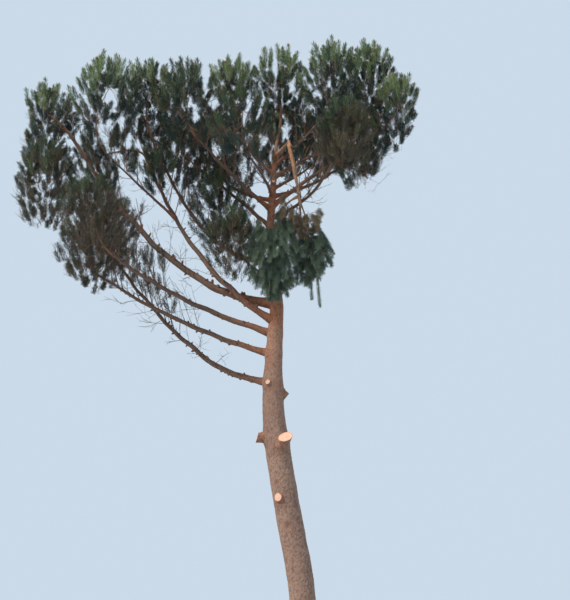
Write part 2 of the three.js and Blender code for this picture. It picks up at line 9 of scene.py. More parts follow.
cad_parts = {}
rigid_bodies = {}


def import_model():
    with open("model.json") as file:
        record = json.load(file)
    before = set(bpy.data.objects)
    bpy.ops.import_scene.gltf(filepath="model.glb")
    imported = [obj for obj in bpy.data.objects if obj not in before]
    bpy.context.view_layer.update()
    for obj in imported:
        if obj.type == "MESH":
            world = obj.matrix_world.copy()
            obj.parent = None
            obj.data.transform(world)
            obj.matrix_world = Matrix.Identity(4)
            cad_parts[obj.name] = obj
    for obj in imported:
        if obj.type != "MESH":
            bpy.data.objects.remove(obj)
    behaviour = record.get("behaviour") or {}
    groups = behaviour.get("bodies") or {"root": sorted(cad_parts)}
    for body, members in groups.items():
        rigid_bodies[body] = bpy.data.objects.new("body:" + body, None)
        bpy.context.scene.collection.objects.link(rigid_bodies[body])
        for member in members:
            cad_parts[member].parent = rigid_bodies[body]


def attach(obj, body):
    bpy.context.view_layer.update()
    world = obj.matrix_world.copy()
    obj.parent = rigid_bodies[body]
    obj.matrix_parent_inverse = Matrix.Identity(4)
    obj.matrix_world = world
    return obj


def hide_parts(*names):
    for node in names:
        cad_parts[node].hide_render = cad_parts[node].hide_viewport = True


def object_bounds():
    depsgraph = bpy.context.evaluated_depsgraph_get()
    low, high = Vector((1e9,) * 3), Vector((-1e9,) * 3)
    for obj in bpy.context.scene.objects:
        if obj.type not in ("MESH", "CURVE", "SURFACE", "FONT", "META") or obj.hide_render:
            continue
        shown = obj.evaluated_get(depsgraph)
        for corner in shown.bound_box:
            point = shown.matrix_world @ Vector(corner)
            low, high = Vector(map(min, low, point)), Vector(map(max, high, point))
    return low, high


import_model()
cad_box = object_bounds()

MM = 0.001
UP = np.array([0.0, 0.0, 1.0])
EAST = np.array([1.0, 0.0, 0.0])

# The part's own named values, in millimetres as in its source
CLEARANCE = 0.3
ROOT_FLARE = 0.4
ROOT_FLARE_HEIGHT = 430
ROOT_LOBES = 5
LOBE_SHARE = 0.35
LOBE_TURN = 0.7
COLLAR_SWELL = 0.05
COLLAR_HALF_HEIGHT = 110
COLLAR_HEIGHTS = [7500, 8640, 9240, 9640, 10160]
BOUGH_STEPS = 7
BOUGH_TIP_SHARE = 0.42
FINE_STEP = 42

# z, x, y, radius of the trunk
TRUNK = np.array([
    (0, 0, 0, 280), (1500, -8, 20, 258), (3000, -38, 45, 248), (4560, -100, 60, 240), (5200, -180, 60, 242),
    (5860, -306, 60, 243), (6720, -456, 40, 240), (7520, -580, 15, 228), (8310, -650, 0, 200),
    (9250, -630, -10, 160), (10150, -578, -10, 122), (11000, -640, 0, 98), (11850, -708, 10, 82),
    (12720, -664, 10, 58), (13520, -618, 20, 40), (14350, -500, 60, 24),
], float)
TRUNK_RINGS = [
    0, 140, 320, 600, 1100, 2000, 3100, 4200, 5000, 5700, 6300, 6850, 7300, 7500, 7700, 8150, 8520, 8640,
    8800, 9240, 9440, 9640, 9880, 10160, 10400, 11000, 11600, 12200, 12800, 13400, 13900, 14350,
]

# name, height or (parent, share), azimuth, reach, rise, lift, bend, radius
BOUGHS = [
    ("bough_left_1", 8670, 161, 3460, 2930, 0.2, -370, 66),
    ("bough_left_2", 9220, 177, 3470, 1680, 0.63, -90, 60),
    ("bough_left_3", 9620, 203, 3310, 1140, 1.04, -400, 62),
    ("bough_left_4", 9880, 169, 2790, 3810, 0.31, 420, 66),
    ("bough_left_5", 10260, 186, 4090, 3300, 0.08, -180, 84),
    ("bough_left_6", 11160, 189, 2460, 2450, 0.2, -620, 52),
    ("bough_left_7", 11500, 142, 900, 560, 0.5, 0, 36),
    ("bough_left_12", 10760, 214, 700, 240, 0.4, 0, 34),
    ("bough_left_8", 11880, 149, 1880, 1850, 1.0, -200, 46),
    ("bough_left_9", 12270, 222, 1960, 980, 0.96, -60, 44),
    ("bough_left_10", 13080, 168, 760, 950, 0.6, 0, 32),
    ("bough_left_11", 12480, 124, 2150, 1450, 0.6, 120, 42),
    ("bough_front", 12560, 252, 1500, 260, 0.3, 60, 36),
    ("bough_back", 12920, 86, 1640, 1180, 0.6, 60, 38),
    ("bough_right_1", 12330, 353, 2150, 1500, 1.3, 90, 48),
    ("bough_right_2", 12740, 47, 1200, 960, 0.8, 0, 36),
    ("bough_right_3", 13260, 322, 1050, 560, 0.7, 0, 31),
    ("bough_right_4", 12980, 10, 1800, 1380, 0.9, 0, 38),
    ("bough_right_5", 12560, 50, 2250, 1500, 0.7, -160, 42),
    ("bough_right_6", 12080, 309, 1850, 480, 0.6, 180, 40),
    ("side_bough_1", ("bough_left_4", 0.72), 218, 1650, 950, 0.9, 0, 30),
    ("side_bough_2", ("bough_left_5", 0.74), 181, 900, 280, 0.2, 80, 32),
    ("side_bough_3", ("bough_right_1", 0.6), 42, 760, -40, 1.2, 0, 26),
    ("side_bough_4", ("bough_left_6", 0.62), 236, 430, 220, 0.6, 0, 22),
    ("hinge_stub", 13440, 297, 620, 60, 1.6, 0, 52),
    ("hanging_limb", ("hinge_stub", 1), 318, 290, -1500, 1.1, 40, 50),
    ("hanging_fork_left", ("hanging_limb", 0.82), 196, 440, -420, 0.5, 0, 24),
    ("hanging_fork_right", ("hanging_limb", 0.9), 45, 200, -330, 0.7, 0, 21),
]
CUT_LIMB = ("hinge_stub", "hanging_limb", "hanging_fork_left", "hanging_fork_right")

# height, azimuth, length, radius, climb, cut, side
STUBS = [
    (7310, 292, 190, 120, 28, 35, 80), (6370, 240, 62, 78, 5, -8, 0), (7600, 187, 130, 96, -6, 20, 0),
    (8560, 246, 46, 50, 10, 0, 0), (8590, 12, 140, 84, -38, 0, 0), (12820, 274, 60, 36, 15, 0, 0),
    (11880, 318, 90, 40, 5, 10, 0),
]

# How the shoots of a mass look: sunlit on top, green, dull, or drooping
TOP, MIDDLE, DULL, HANGING = range(4)

# name, limb that carries it, centre, half sizes, share of bare shoots low down, look; the last three hang
MASSES = [
    ("foliage_left_1", "bough_left_5", (-5330, 100, 14330), (640, 860, 800), 0.3, TOP),
    ("foliage_left_2", "side_bough_2", (-5190, -450, 12720), (640, 820, 880), 0.4, DULL),
    ("foliage_left_3", "bough_left_2", (-4330, 200, 11500), (680, 800, 680), 0.6, DULL),
    ("foliage_left_4", "side_bough_1", (-3900, -1150, 14280), (640, 830, 780), 0.2, TOP),
    ("foliage_left_5", "bough_left_4", (-4190, 550, 13640), (690, 800, 780), 0.4, MIDDLE),
    ("foliage_left_6", "bough_left_1", (-4150, 1250, 12430), (600, 760, 780), 0.5, DULL),
    ("foliage_left_7", "bough_left_3", (-4020, -1600, 11560), (600, 760, 740), 0.6, DULL),
    ("foliage_left_8", "bough_left_6", (-3190, 50, 14800), (650, 820, 900), 0.2, TOP),
    ("foliage_left_15", "side_bough_4", (-2960, -420, 13010), (360, 480, 440), 0.3, MIDDLE),
    ("foliage_left_9", "bough_left_9", (-2290, -1250, 14100), (620, 870, 840), 0.3, MIDDLE),
    ("foliage_left_10", "bough_left_8", (-2760, 1250, 14350), (680, 780, 760), 0.4, MIDDLE),
    ("foliage_left_11", "bough_left_11", (-2080, 2250, 14900), (660, 720, 760), 0.3, TOP),
    ("foliage_left_12", "bough_left_10", (-1480, 200, 14920), (640, 820, 900), 0.2, TOP),
    ("foliage_left_13", "bough_left_7", (-1760, 900, 12800), (620, 780, 880), 0.5, MIDDLE),
    ("foliage_left_14", "bough_left_12", (-1440, -560, 11400), (520, 640, 720), 0.6, DULL),
    ("foliage_front", "bough_front", (-1220, -1950, 13330), (560, 700, 680), 0.4, MIDDLE),
    ("foliage_top", "trunk", (-560, 350, 15220), (600, 820, 950), 0.2, TOP),
    ("foliage_back", "bough_back", (-530, 2200, 14950), (640, 740, 780), 0.3, TOP),
    ("foliage_right_1", "bough_right_3", (520, -880, 14660), (560, 820, 910), 0.3, TOP),
    ("foliage_right_2", "bough_right_2", (440, 1100, 14440), (580, 720, 720), 0.4, MIDDLE),
    ("foliage_right_3", "bough_right_4", (1380, 400, 15320), (580, 820, 1010), 0.2, TOP),
    ("foliage_right_4", "bough_right_5", (1090, 2150, 15000), (640, 700, 760), 0.3, TOP),
    ("foliage_right_5", "bough_right_6", (720, -1800, 13170), (500, 620, 680), 0.2, DULL),
    ("foliage_right_6", "bough_right_1", (1860, -480, 14250), (510, 780, 790), 0.3, TOP),
    ("foliage_right_7", "side_bough_3", (1250, 650, 13680), (540, 660, 560), 0.5, MIDDLE),
    ("foliage_hanging_1", "hanging_fork_left", (-620, -940, 10790), (470, 500, 860), 0.0, HANGING),
    ("foliage_hanging_2", "hanging_limb", (-150, -1000, 11660), (430, 450, 500), 0.35, DULL),
    ("foliage_hanging_3", "hanging_fork_right", (130, -640, 10860), (350, 440, 580), 0.1, HANGING),
]
FIRST_HANGING = len(MASSES) - 3
CENTRES = np.array([mass[2] for mass in MASSES], float)
HALVES = np.array([mass[3] for mass in MASSES], float)

# The rule by which a mass grows its twigs, the same as in the part's source. A twig's values: the length of
# its needles, their most as a share of the way there, how near the tip may be as a share of that length, how
# far they turn towards their pull, the sharpest turn from it, and what a longer way costs
TIPS_PER_SQUARE_METRE = 4.2
TUFT_TWIGS = SimpleNamespace(length=650, most=0.7, shortest=0.6, turn=0.5, sharpest=0.2, detour=0.3)
TUFT_WIDTH = 440
HANGING_TUFTS = 0.68
TUFT_NECK = 12
TUFT_CORE_SHARE = 0.24
TUFT_SPACING = 0.7
TUFT_DEPTHS = (0.94, 0.94, 0.94, 0.6)
GOLDEN_ANGLE = math.pi * (3 - math.sqrt(5))
LOWEST_TIP = -0.62
EDGE_DEPTH = 1.08
NEIGHBOUR_GAP = 0.04
LIMB_GAP = 25
UPWARD_PULL = 0.9
TWIG_RADIUS = 20
ROOT_SHARE = 0.6
STEM_STEPS = 4
STEM_RISE = 0.15
STEM_BOW = 0.45

# The same rule carried on to shoots of needles
SHOOTS_PER_SQUARE_METRE = {TOP: 36, MIDDLE: 35, DULL: 47, HANGING: 76}
SHOOT_TWIGS = SimpleNamespace(length=340, most=0.85, shortest=0.7, turn=4.5, sharpest=0.25, detour=0.2)
SHOOT_LENGTH = SHOOT_TWIGS.length
SHOOT_WIDTH = 132
SHOOT_DEPTHS = (0.99, 0.9, 0.74, 0.96, 0.84, 0.5)
SHOOT_BULGE = 0.26
SHOOT_SPACING = 0.62
SHOOT_LOWEST = -0.85
SHOOT_NECK = 3.5
SHOOT_STEM_STEPS = 12
TWIG_JOINTS = (0.3, 0.5, 0.7, 0.85, 0.95)
AXIS_SHARES = np.array([[0.25], [0.6], [0.95]])
BARE_BELOW = 0.7
STANDING = SimpleNamespace(scale=1, pull=2.6, edge=1.35, overlap=0.05, spacing=1)
DROOPING = SimpleNamespace(scale=0.95, pull=3.0, edge=1.6, overlap=0.45, spacing=0.75)
NEEDLES_A_SHOOT = 78
NEEDLE_LENGTH = 86
NEEDLE_WIDTH = 13.8

# How far shoots may reach past the solids' box, as a share of each side, and what needles and sprays need
BOX_LOW, BOX_HIGH = np.array(cad_box[0]) / MM, np.array(cad_box[1]) / MM
BOX_MORE = (BOX_HIGH - BOX_LOW) * np.array([0.01, 0.03, 0.02])
REACH_LOW, REACH_HIGH = BOX_LOW - BOX_MORE, BOX_HIGH + BOX_MORE
BOX_ROOM = 85
SPRAY_ROOM = 15
DEAD_TWIG_ROOM = 40

# Side branches that rise from the outer part of each bough, with shoots of their own
SIDE_BRANCH_SPACING = 150
SIDE_BRANCH_SHOOTS = 5
SIDE_SHOOT_GAP = 45
LONG_BOUGH = 3000
LONG_BOUGH_BEGIN = 0.62
SHORT_BOUGH_BEGIN = 0.3
SIDE_SHOOTS_BARE = 0.45
DULL_BELOW = 12700

# Fine twigs: a spray without needles, dead twigs along the boughs, and the knobs that lost twigs leave
TWIGS_A_SPRAY = 7
DEAD_TWIGS_PER_METRE = 7
KNOBS_PER_METRE = 8

# The two shoots that dangle like ropes from the cut limb, from and to, and how many lengths make one
DANGLING = [((58, -800, 10650), (92, -800, 10040)), ((190, -800, 10550), (242, -800, 9900))]
ROPE_LENGTHS = 3

# Gaps where sky shows through the crown from the photo's side: x, z, half width and half height, as seen
# from the eye against the upright plane through the trunk's foot
EYE = np.array([-420.0, -24000.0, 1600.0])
SKY_GAPS = np.array([
    (-4120, 14847, 145, 188), (-3946, 14917, 83, 165), (-4210, 14126, 103, 185), (-4071, 13805, 103, 160),
    (-3883, 13487, 102, 159), (-3719, 13238, 122, 135), (-3519, 12835, 304, 291), (-3784, 14288, 103, 185),
    (-3651, 13805, 82, 160), (-3352, 13510, 82, 136), (-3337, 14485, 62, 93), (-2431, 14660, 62, 164),
    (-2261, 14473, 83, 327), (-2069, 15177, 83, 380), (-1893, 14707, 166, 187), (-1801, 13589, 102, 137),
    (-2754, 12992, 183, 179), (-2604, 12702, 121, 178), (-2945, 12613, 101, 155), (-2655, 12370, 121, 176),
    (-4587, 13104, 81, 112), (-4282, 13104, 81, 112), (-651, 15557, 84, 264), (-274, 15035, 104, 118),
    (-760, 12080, 200, 330), (-730, 12500, 170, 300), (-1156, 14660, 104, 117), (-1267, 14357, 83, 93),
    (-408, 14080, 93, 277), (-871, 13828, 82, 137), (-946, 12724, 101, 111), (-3059, 15462, 63, 191),
], float)
GAP_SHARE = 0.8
# Where the cut limb is seen bare, as an ellipse in the same way, and how near the eye the shoots are that
# would hide it
BARE_LIMB = np.array([0, 12700, 430, 560], float)
FRONT_OF_LIMB = -600
# How low the shoots of the hanging limb reach on the right, as seen from there: across, and the height
HANGING_FLOOR = np.array([
    (-300, 0), (-205, 10231), (-66, 10649), (73, 10796), (271, 10923), (432, 11136), (514, 11392), (520, 0),
])
# The crown's edges as seen from there: heights, and how far right or left shoots reach at each
RIGHT_EDGE = np.array([
    (12760, 900), (12830, 1290), (13100, 1430), (13350, 1640), (13600, 1860), (13850, 2030), (14060, 2210),
    (14300, 2300), (14636, 2370), (16500, 2420),
])
LEFT_EDGE = np.array([
    (10500, -4250), (10800, -4600), (11100, -4850), (11450, -5100), (11800, -5250), (12100, -5750),
    (12450, -5900), (13300, -5930), (13600, -5820), (16500, -5820),
])

# The trunk's skin: low and high end, points around and height of a step; the points halve at each end
SECTIONS = [(0, 8600, 88, 21), (8600, 11800, 44, 26), (11800, 14350, 22, 36)]
FISSURE = 7.0
FLAKE = 3.0
KNOTS = [(-560, -173, 6680), (-372, -175, 5850), (-255, -150, 9860), (-420, 250, 7010), (30, 190, 5300)]
SCAR_SIZE = 62
PIT_SIZE = 45
PIT_DEPTH = 22


def unit(vectors):
    return vectors / np.maximum(np.linalg.norm(vectors, axis=-1, keepdims=True), 1e-12)


def square_to(heading, overall=None, steepest=0.9):
    """Two ways square to each heading and to each other"""
    steep = heading if overall is None else overall
    guess = np.where(np.abs(steep[..., 2:]) > steepest, EAST, UP)
    across = unit(guess - heading * (heading * guess).sum(-1, keepdims=True))
    return across, np.cross(heading, across)


def around(u, v, angle):
    return u * math.cos(angle) + v * math.sin(angle)


def bezier(a, b, c, t):
    t = np.asarray(t)[..., None]
    return a * (1 - t) ** 2 + b * 2 * t * (1 - t) + c * t**2


def place_on(path, share):
    """The point at a share of a path, and the heading of its step"""
    at = share * (len(path) - 1)
    i = min(int(at), len(path) - 2)
    step = path[i + 1] - path[i]
    return path[i] + step * (at - i), unit(step)


def point_on(path, share):
    return place_on(path, share)[0]


def heading_near(path, share, near=0.05):
    return unit(point_on(path, min(share + near, 1)) - point_on(path, share - near))


def path_length(path):
    return np.linalg.norm(np.diff(path, axis=0), axis=1).sum()


def seeded(seed):
    """The same numbers each run, from 0 to 1, by the part's own generator"""
    state = seed

    def draw():
        nonlocal state
        state = state * 16807 % 2147483647
        return state / 2147483647

    return draw


# The trunk and the boughs, as in the solids
def neighbour_rows(step):
    return TRUNK[np.clip(np.arange(len(TRUNK)) + step, 0, len(TRUNK) - 1)]


ROW_SPANS = neighbour_rows(1) - neighbour_rows(-1)
ROW_SLOPES = ROW_SPANS / ROW_SPANS[:, :1]


def trunk_value(column, z):
    """A column of the trunk's table at any height, on a smooth curve"""
    i = np.clip(np.searchsorted(TRUNK[:, 0], z) - 1, 0, len(TRUNK) - 2)
    span = TRUNK[i + 1, 0] - TRUNK[i, 0]
    t = (z - TRUNK[i, 0]) / span
    rest = 1 - t
    return (
        TRUNK[i, column] * rest * rest * (1 + 2 * t) + TRUNK[i + 1, column] * t * t * (3 - 2 * t)
        + span * t * rest * (ROW_SLOPES[i, column] * rest - ROW_SLOPES[i + 1, column] * t)
    )


def trunk_centre(z):
    z = np.asarray(z, float)
    return np.stack([trunk_value(1, z), trunk_value(2, z), z], axis=-1)


def trunk_radius(z, angle):
    z = np.asarray(z, float)
    flare = ROOT_FLARE * np.exp(-z / ROOT_FLARE_HEIGHT)
    lobes = 1 + LOBE_SHARE * np.cos(ROOT_LOBES * angle + LOBE_TURN)
    swell = sum(np.exp(-(((z - h) / COLLAR_HALF_HEIGHT) ** 2)) for h in COLLAR_HEIGHTS)
    return trunk_value(3, z) * (1 + flare * lobes + COLLAR_SWELL * swell)


def bough_path(start, azimuth, reach, rise, lift, bend, steps):
    angle = math.radians(azimuth)
    along = np.array([math.cos(angle), math.sin(angle), 0.0])
    sideways = np.array([-math.sin(angle), math.cos(angle), 0.0])
    t = np.linspace(0, 1, steps + 1)[:, None]
    level = start + along * reach * t + sideways * bend * 4 * t * (1 - t)
    return level + UP * rise * (lift * t + (1 - lift) * t * t)


class Limb:
    """A bough: its path by steps as in the solids, a finer path, and its radius along them"""

    def __init__(self, name, root, azimuth, reach, rise, lift, bend, radius):
        self.name, self.radius = name, radius
        self.parent = limbs[root[0]] if isinstance(root, tuple) else None
        share = root[1] if self.parent else 0
        self.carries_on = share == 1
        start = point_on(self.parent.path, share) if self.parent else trunk_centre(root)
        shape = (start, azimuth, reach, rise, lift, bend)
        self.path = bough_path(*shape, BOUGH_STEPS)
        self.fine_steps = max(24, int(math.hypot(reach, rise) / FINE_STEP))
        self.fine = bough_path(*shape, self.fine_steps)
        if self.carries_on:
            heading = unit(self.path[1] - self.path[0])
            self.path[0] += heading * (self.parent.radius * BOUGH_TIP_SHARE + CLEARANCE)
            self.fine = self.fine[self.fine[:, 2] <= self.path[0][2]]
        self.end_heading = unit(self.path[-1] - self.path[-2])

    def radius_at(self, t):
        return self.radius * (1 - (1 - BOUGH_TIP_SHARE) * t)


class TrunkLimb:
    name = "trunk"
    radius = 0
    end_heading = UP

    def __init__(self):
        self.path = trunk_centre(TRUNK_RINGS)

    def radius_at(self, t):
        at = t * (len(TRUNK_RINGS) - 1)
        return trunk_radius(np.interp(at, range(len(TRUNK_RINGS)), TRUNK_RINGS), 0)


limbs = {}
for row in BOUGHS:
    limbs[row[0]] = Limb(*row)
boughs = list(limbs.values())
limbs["trunk"] = TrunkLimb()


def limb_steps(limb):
    """A limb's straight steps: start, run, place along the limb, share of it, and the limb's radius"""
    count = len(limb.path) - 1
    places = [(i / count, 1 / count, limb.radius) for i in range(count)]
    return np.hstack([limb.path[:-1], np.diff(limb.path, axis=0), places])


STEPS = np.concatenate([limb_steps(limb) for limb in limbs.values()])
STEP_START, STEP_RUN = STEPS[:, :3], STEPS[:, 3:6]
STEP_PLACE, STEP_SHARE, STEP_RADIUS = STEPS[:, 6:].T
TRUNK_STEPS = len(TRUNK_RINGS) - 1


def distance_to_limbs(points):
    """How far each point is from the nearest limb's surface"""
    away = points[:, None] - STEP_START
    t = np.clip((away * STEP_RUN).sum(-1) / (STEP_RUN**2).sum(-1), 0, 1)
    nearest = STEP_START + STEP_RUN * t[..., None]
    radius = STEP_RADIUS * (1 - (1 - BOUGH_TIP_SHARE) * (STEP_PLACE + t * STEP_SHARE))
    radius[:, -TRUNK_STEPS:] = trunk_radius(nearest[:, -TRUNK_STEPS:, 2], 0)
    return (np.linalg.norm(points[:, None] - nearest, axis=-1) - radius).min(1)


# Where twigs and shoots may stand
def is_free(points, index, edge, gap, room):
    """Whether points keep to their own mass, out of the others' spaces and off the limbs"""
    depth = np.linalg.norm((points[:, None] - CENTRES) / HALVES, axis=-1)
    own = depth[:, index].copy()
    depth[:, index] = np.inf
    if (own > edge).any() or (depth < (own + gap)[:, None]).any():
        return False
    return bool((distance_to_limbs(points) > room).all())


def is_crowded(axis, taken, space):
    return len(taken) > 0 and np.linalg.norm(axis[:, None] - taken, axis=-1).min() < space


def is_in_box(points):
    return bool((points >= REACH_LOW + BOX_ROOM).all() and (points <= REACH_HIGH - BOX_ROOM).all())


def is_in_view_gap(points):
    """Whether any of the points stands in a gap of the crown, or past its edges, as the eye sees it"""
    ray = points - EYE
    seen = EYE + ray * (-EYE[1] / ray[:, 1:2])
    away = (seen[:, None, [0, 2]] - SKY_GAPS[:, :2]) / (SKY_GAPS[:, 2:] * GAP_SHARE)
    past_right = seen[:, 0] > np.interp(seen[:, 2], *RIGHT_EDGE.T)
    past_left = seen[:, 0] < np.interp(seen[:, 2], *LEFT_EDGE.T)
    low = seen[:, 2] < np.interp(seen[:, 0], *HANGING_FLOOR.T)
    on_limb = (((seen[:, [0, 2]] - BARE_LIMB[:2]) / BARE_LIMB[2:]) ** 2).sum(-1) < 1
    hides = on_limb & (points[:, 1] < FRONT_OF_LIMB)
    in_gap = ((away**2).sum(-1) < 1).any()
    return bool(in_gap or (past_right | past_left | hides).any() or low.all())


# The masses: stem, twigs as in the solids, and shoots
class Mass:
    """The space of a mass, what carries it, and its stem"""

    def __init__(self, index):
        self.index = index
        _, limb, _, _, self.bare, self.look = MASSES[index]
        self.centre, self.half = CENTRES[index], HALVES[index]
        self.hangs = index >= FIRST_HANGING
        self.way = -1 if self.hangs else 1
        self.radius = float(limbs[limb].radius_at(1))
        leaving = limbs[limb].end_heading
        self.start = limbs[limb].path[-1] + leaving * CLEARANCE
        self.end = self.centre + UP * self.way * STEM_RISE * self.half[2]
        self.bow = self.start + leaving * np.linalg.norm(self.end - self.start) * STEM_BOW

    def stem(self, steps):
        t = np.linspace(0, 1, steps + 1)
        return bezier(self.start, self.bow, self.end, t), self.radius * (1 - 0.5 * t)

    def joints(self, steps, first):
        """Places on the stem where twigs may start: point, way from the limb, radius and heading"""
        points, radii = self.stem(steps)
        ways = np.linalg.norm(points - self.start, axis=1)
        headings = unit(np.diff(points, axis=0, prepend=points[:1]))
        return list(zip(points, ways, radii, headings))[first:]


def tuft_reach(neck, aim, length, width):
    """The points of a tuft that the source's rule looks at, its axis first"""
    u, v = square_to(aim)

    def at(share, radius, angle):
        return neck + aim * share * length + u * radius * math.cos(angle) + v * radius * math.sin(angle)

    third = 2 * math.pi / 3
    axis = [at(share, 0, 0) for share in (0.3, 0.55, 0.8, 1)]
    waist = [at(0.42, TUFT_CORE_SHARE * width, (k + 0.5) * third) for k in range(3)]
    low = [at(0.6, 0.5 * width, (k + 0.5) * third) for k in range(3)]
    high = [at(0.93, 0.34 * width, (k + 1) * third) for k in range(3)]
    inner = [(p + axis[1]) / 2 for p in low] + [(p + axis[2]) / 2 for p in high]
    return np.array(axis + waist + low + high + inner)


def spread_tips(mass, random, rate, lowest, depths, pull, scale, bulge=0.0):
    """Tips of a mass, nearest first, spread by the golden angle: place, way they point, size and depth"""
    outside = 4 * math.pi * np.cbrt(np.prod(mass.half / 1000) ** 2)
    count = int(math.floor(outside * rate / scale**2 + 0.5))
    turn = random() * 2 * math.pi
    tips = []
    for i in range(count):
        high = 1 - (1 - lowest) * ((i + 0.35) / count)
        ring = math.sqrt(1 - high * high)
        angle = turn + i * GOLDEN_ANGLE + (random() - 0.5) * 0.5
        depth = (depths[i % len(depths)] + (random() - 0.5) * 0.12) * (1 + bulge * (1 - abs(high)))
        out = np.array([ring * math.cos(angle), ring * math.sin(angle), high * mass.way])
        heading = unit(out + UP * mass.way * pull)
        tips.append((mass.centre + out * mass.half * depth, heading, scale * (0.88 + 0.24 * random()), depth))
    return sorted(tips, key=lambda tip: np.linalg.norm(tip[0] - mass.start))


def reached(tips, joints, twig):
    """Each tip that a joint reaches without a sharp turn, the joint with the shortest way, and the needles"""
    for tip, pull, size, depth in tips:
        run = tip - np.array([joint[0] for joint in joints])
        far = np.linalg.norm(run, axis=1)
        suits = (far > twig.length * twig.shortest * size) & ((run * pull).sum(1) > twig.sharpest * far)
        if suits.any():
            cost = far + twig.detour * np.array([joint[1] for joint in joints])
            j = int(np.where(suits, cost, np.inf).argmin())
            aim = unit(unit(run[j]) + pull * twig.turn)
            length = min(twig.length * size, far[j] * twig.most)
            yield tip, size, depth, joints[j], tip - aim * length, aim, length


def joint_on(joint, middle, neck, radius):
    """A new joint in the middle of a twig that starts from another"""
    return middle, joint[1] + np.linalg.norm(middle - joint[0]), radius, unit(neck - joint[0])


def twig_curve(root, leaving, neck, aim, length, keep, steps, tail):
    """A twig's path: it leaves along its parent, turns to its neck and runs on inside its needles"""
    far = np.linalg.norm(neck - root)
    bow = (root + neck) / 2 * 0.5 + (root + leaving * far * 0.5) * 0.25 + (neck - aim * far * 0.4) * 0.25
    curve = bezier(root, bow, neck, np.linspace(0, 1, steps))
    return np.vstack([curve, neck + aim * length * keep * np.linspace(0, 1, tail + 1)[1:, None]])


def grow_twigs(mass):
    """The twigs of a mass, which are the same as the solids'"""
    random = seeded(1009 + 7919 * mass.index)
    scale = HANGING_TUFTS if mass.hangs else 1
    tips = spread_tips(mass, random, TIPS_PER_SQUARE_METRE, LOWEST_TIP, TUFT_DEPTHS, UPWARD_PULL, scale)
    joints = mass.joints(STEM_STEPS, 1)
    twigs = []
    taken = np.zeros((0, 3))
    for _, size, _, joint, neck, aim, length in reached(tips, joints, TUFT_TWIGS):
        middle = joint[0] + (neck - joint[0]) * 0.6
        reach = tuft_reach(neck, aim, length, TUFT_WIDTH * size)
        points = np.vstack([middle, neck, reach])
        if is_crowded(reach[:4], taken, TUFT_SPACING * TUFT_WIDTH * size):
            continue
        if not is_free(points, mass.index, EDGE_DEPTH, NEIGHBOUR_GAP, LIMB_GAP + TUFT_NECK):
            continue
        taken = np.vstack([taken, reach[:4]])
        thick = min(TWIG_RADIUS, joint[2] * ROOT_SHARE)
        twigs.append(SimpleNamespace(
            curve=twig_curve(joint[0], joint[3], neck, aim, length, 0.6, 6, 2), thick=thick,
            way=joint[1], length=np.linalg.norm(neck - joint[0]) + length,
        ))
        joints.append(joint_on(joint, middle, neck, (thick + TUFT_NECK) / 2))
    return twigs


# A shoot's values: curve and thick are its twig's, and neck, aim, length and width its needles'; high, depth,
# out, luck and look choose their kind; it may hang or be bare
class Shoot(SimpleNamespace):
    hangs = False

    def axis(self):
        return axis_of(self.neck, self.aim, self.length)


def axis_of(neck, aim, length):
    return neck + aim * length * AXIS_SHARES


def grow_shoots(mass, twigs):
    """The shoots of a mass, on joints along its stem and twigs, by the same rule with finer values"""
    random = seeded(50021 + 6151 * mass.index)
    rule = DROOPING if mass.hangs else STANDING
    rate = SHOOTS_PER_SQUARE_METRE[HANGING if mass.hangs else mass.look]
    tips = spread_tips(mass, random, rate, SHOOT_LOWEST, SHOOT_DEPTHS, rule.pull, rule.scale, SHOOT_BULGE)
    joints = mass.joints(SHOOT_STEM_STEPS, 2)
    for twig in twigs:
        for share in TWIG_JOINTS:
            point, heading = place_on(twig.curve, share)
            radius = twig.thick * (1 - share) + 5 * share
            joints.append((point, twig.way + share * twig.length, radius, heading))
    shoots = []
    taken = np.zeros((0, 3))
    for tip, size, depth, joint, neck, aim, length in reached(tips, joints, SHOOT_TWIGS):
        axis = axis_of(neck, aim, length)
        if is_crowded(axis, taken, SHOOT_SPACING * SHOOT_WIDTH * size * rule.spacing):
            continue
        u, v = square_to(aim)
        ends = np.vstack([axis, [axis[1] + w * SHOOT_WIDTH * 0.4 * size for w in (u, v, -u, -v)], tip])
        if not is_in_box(ends) or is_in_view_gap(axis):
            continue
        if not is_free(ends, mass.index, rule.edge, -rule.overlap, LIMB_GAP):
            continue
        taken = np.vstack([taken, axis])
        thick = min(9.0, joint[2] * ROOT_SHARE)
        curve = twig_curve(joint[0], joint[3], neck, aim, length, 0.9, 3, 1)
        high = (tip[2] - mass.centre[2]) / mass.half[2]
        shoots.append(Shoot(
            curve=curve, thick=thick, neck=neck, aim=aim, length=length, width=SHOOT_WIDTH * size, high=high,
            depth=depth, out=(tip - mass.centre) / mass.half, look=mass.look, hangs=mass.hangs, luck=random(),
            bare=random() < mass.bare * min(max(BARE_BELOW - high, 0), 1),
        ))
        joints.append(joint_on(joint, curve[1], neck, (thick + SHOOT_NECK) / 2))
    return shoots


def side_shoot(fork, heading, random):
    """A shoot that rises from a side branch"""
    turn = 2 * math.pi * random()
    out = np.array([math.cos(turn), math.sin(turn), 0.0])
    aim = unit(heading * 0.4 + out * 0.5 + UP * (0.9 + 0.6 * random()))
    size = 0.78 + 0.3 * random()
    length = SHOOT_LENGTH * size
    neck = fork + unit(aim + out * 0.5) * 60
    look = DULL if axis_of(neck, aim, length)[1][2] < DULL_BELOW else MIDDLE
    curve = twig_curve(fork, aim, neck, aim, length, 0.9, 3, 1)
    return Shoot(
        curve=curve, thick=6.0, neck=neck, aim=aim, length=length, width=SHOOT_WIDTH * size, high=-0.2,
        depth=0.8, out=out, look=look, luck=random(), bare=random() < SIDE_SHOOTS_BARE,
    )


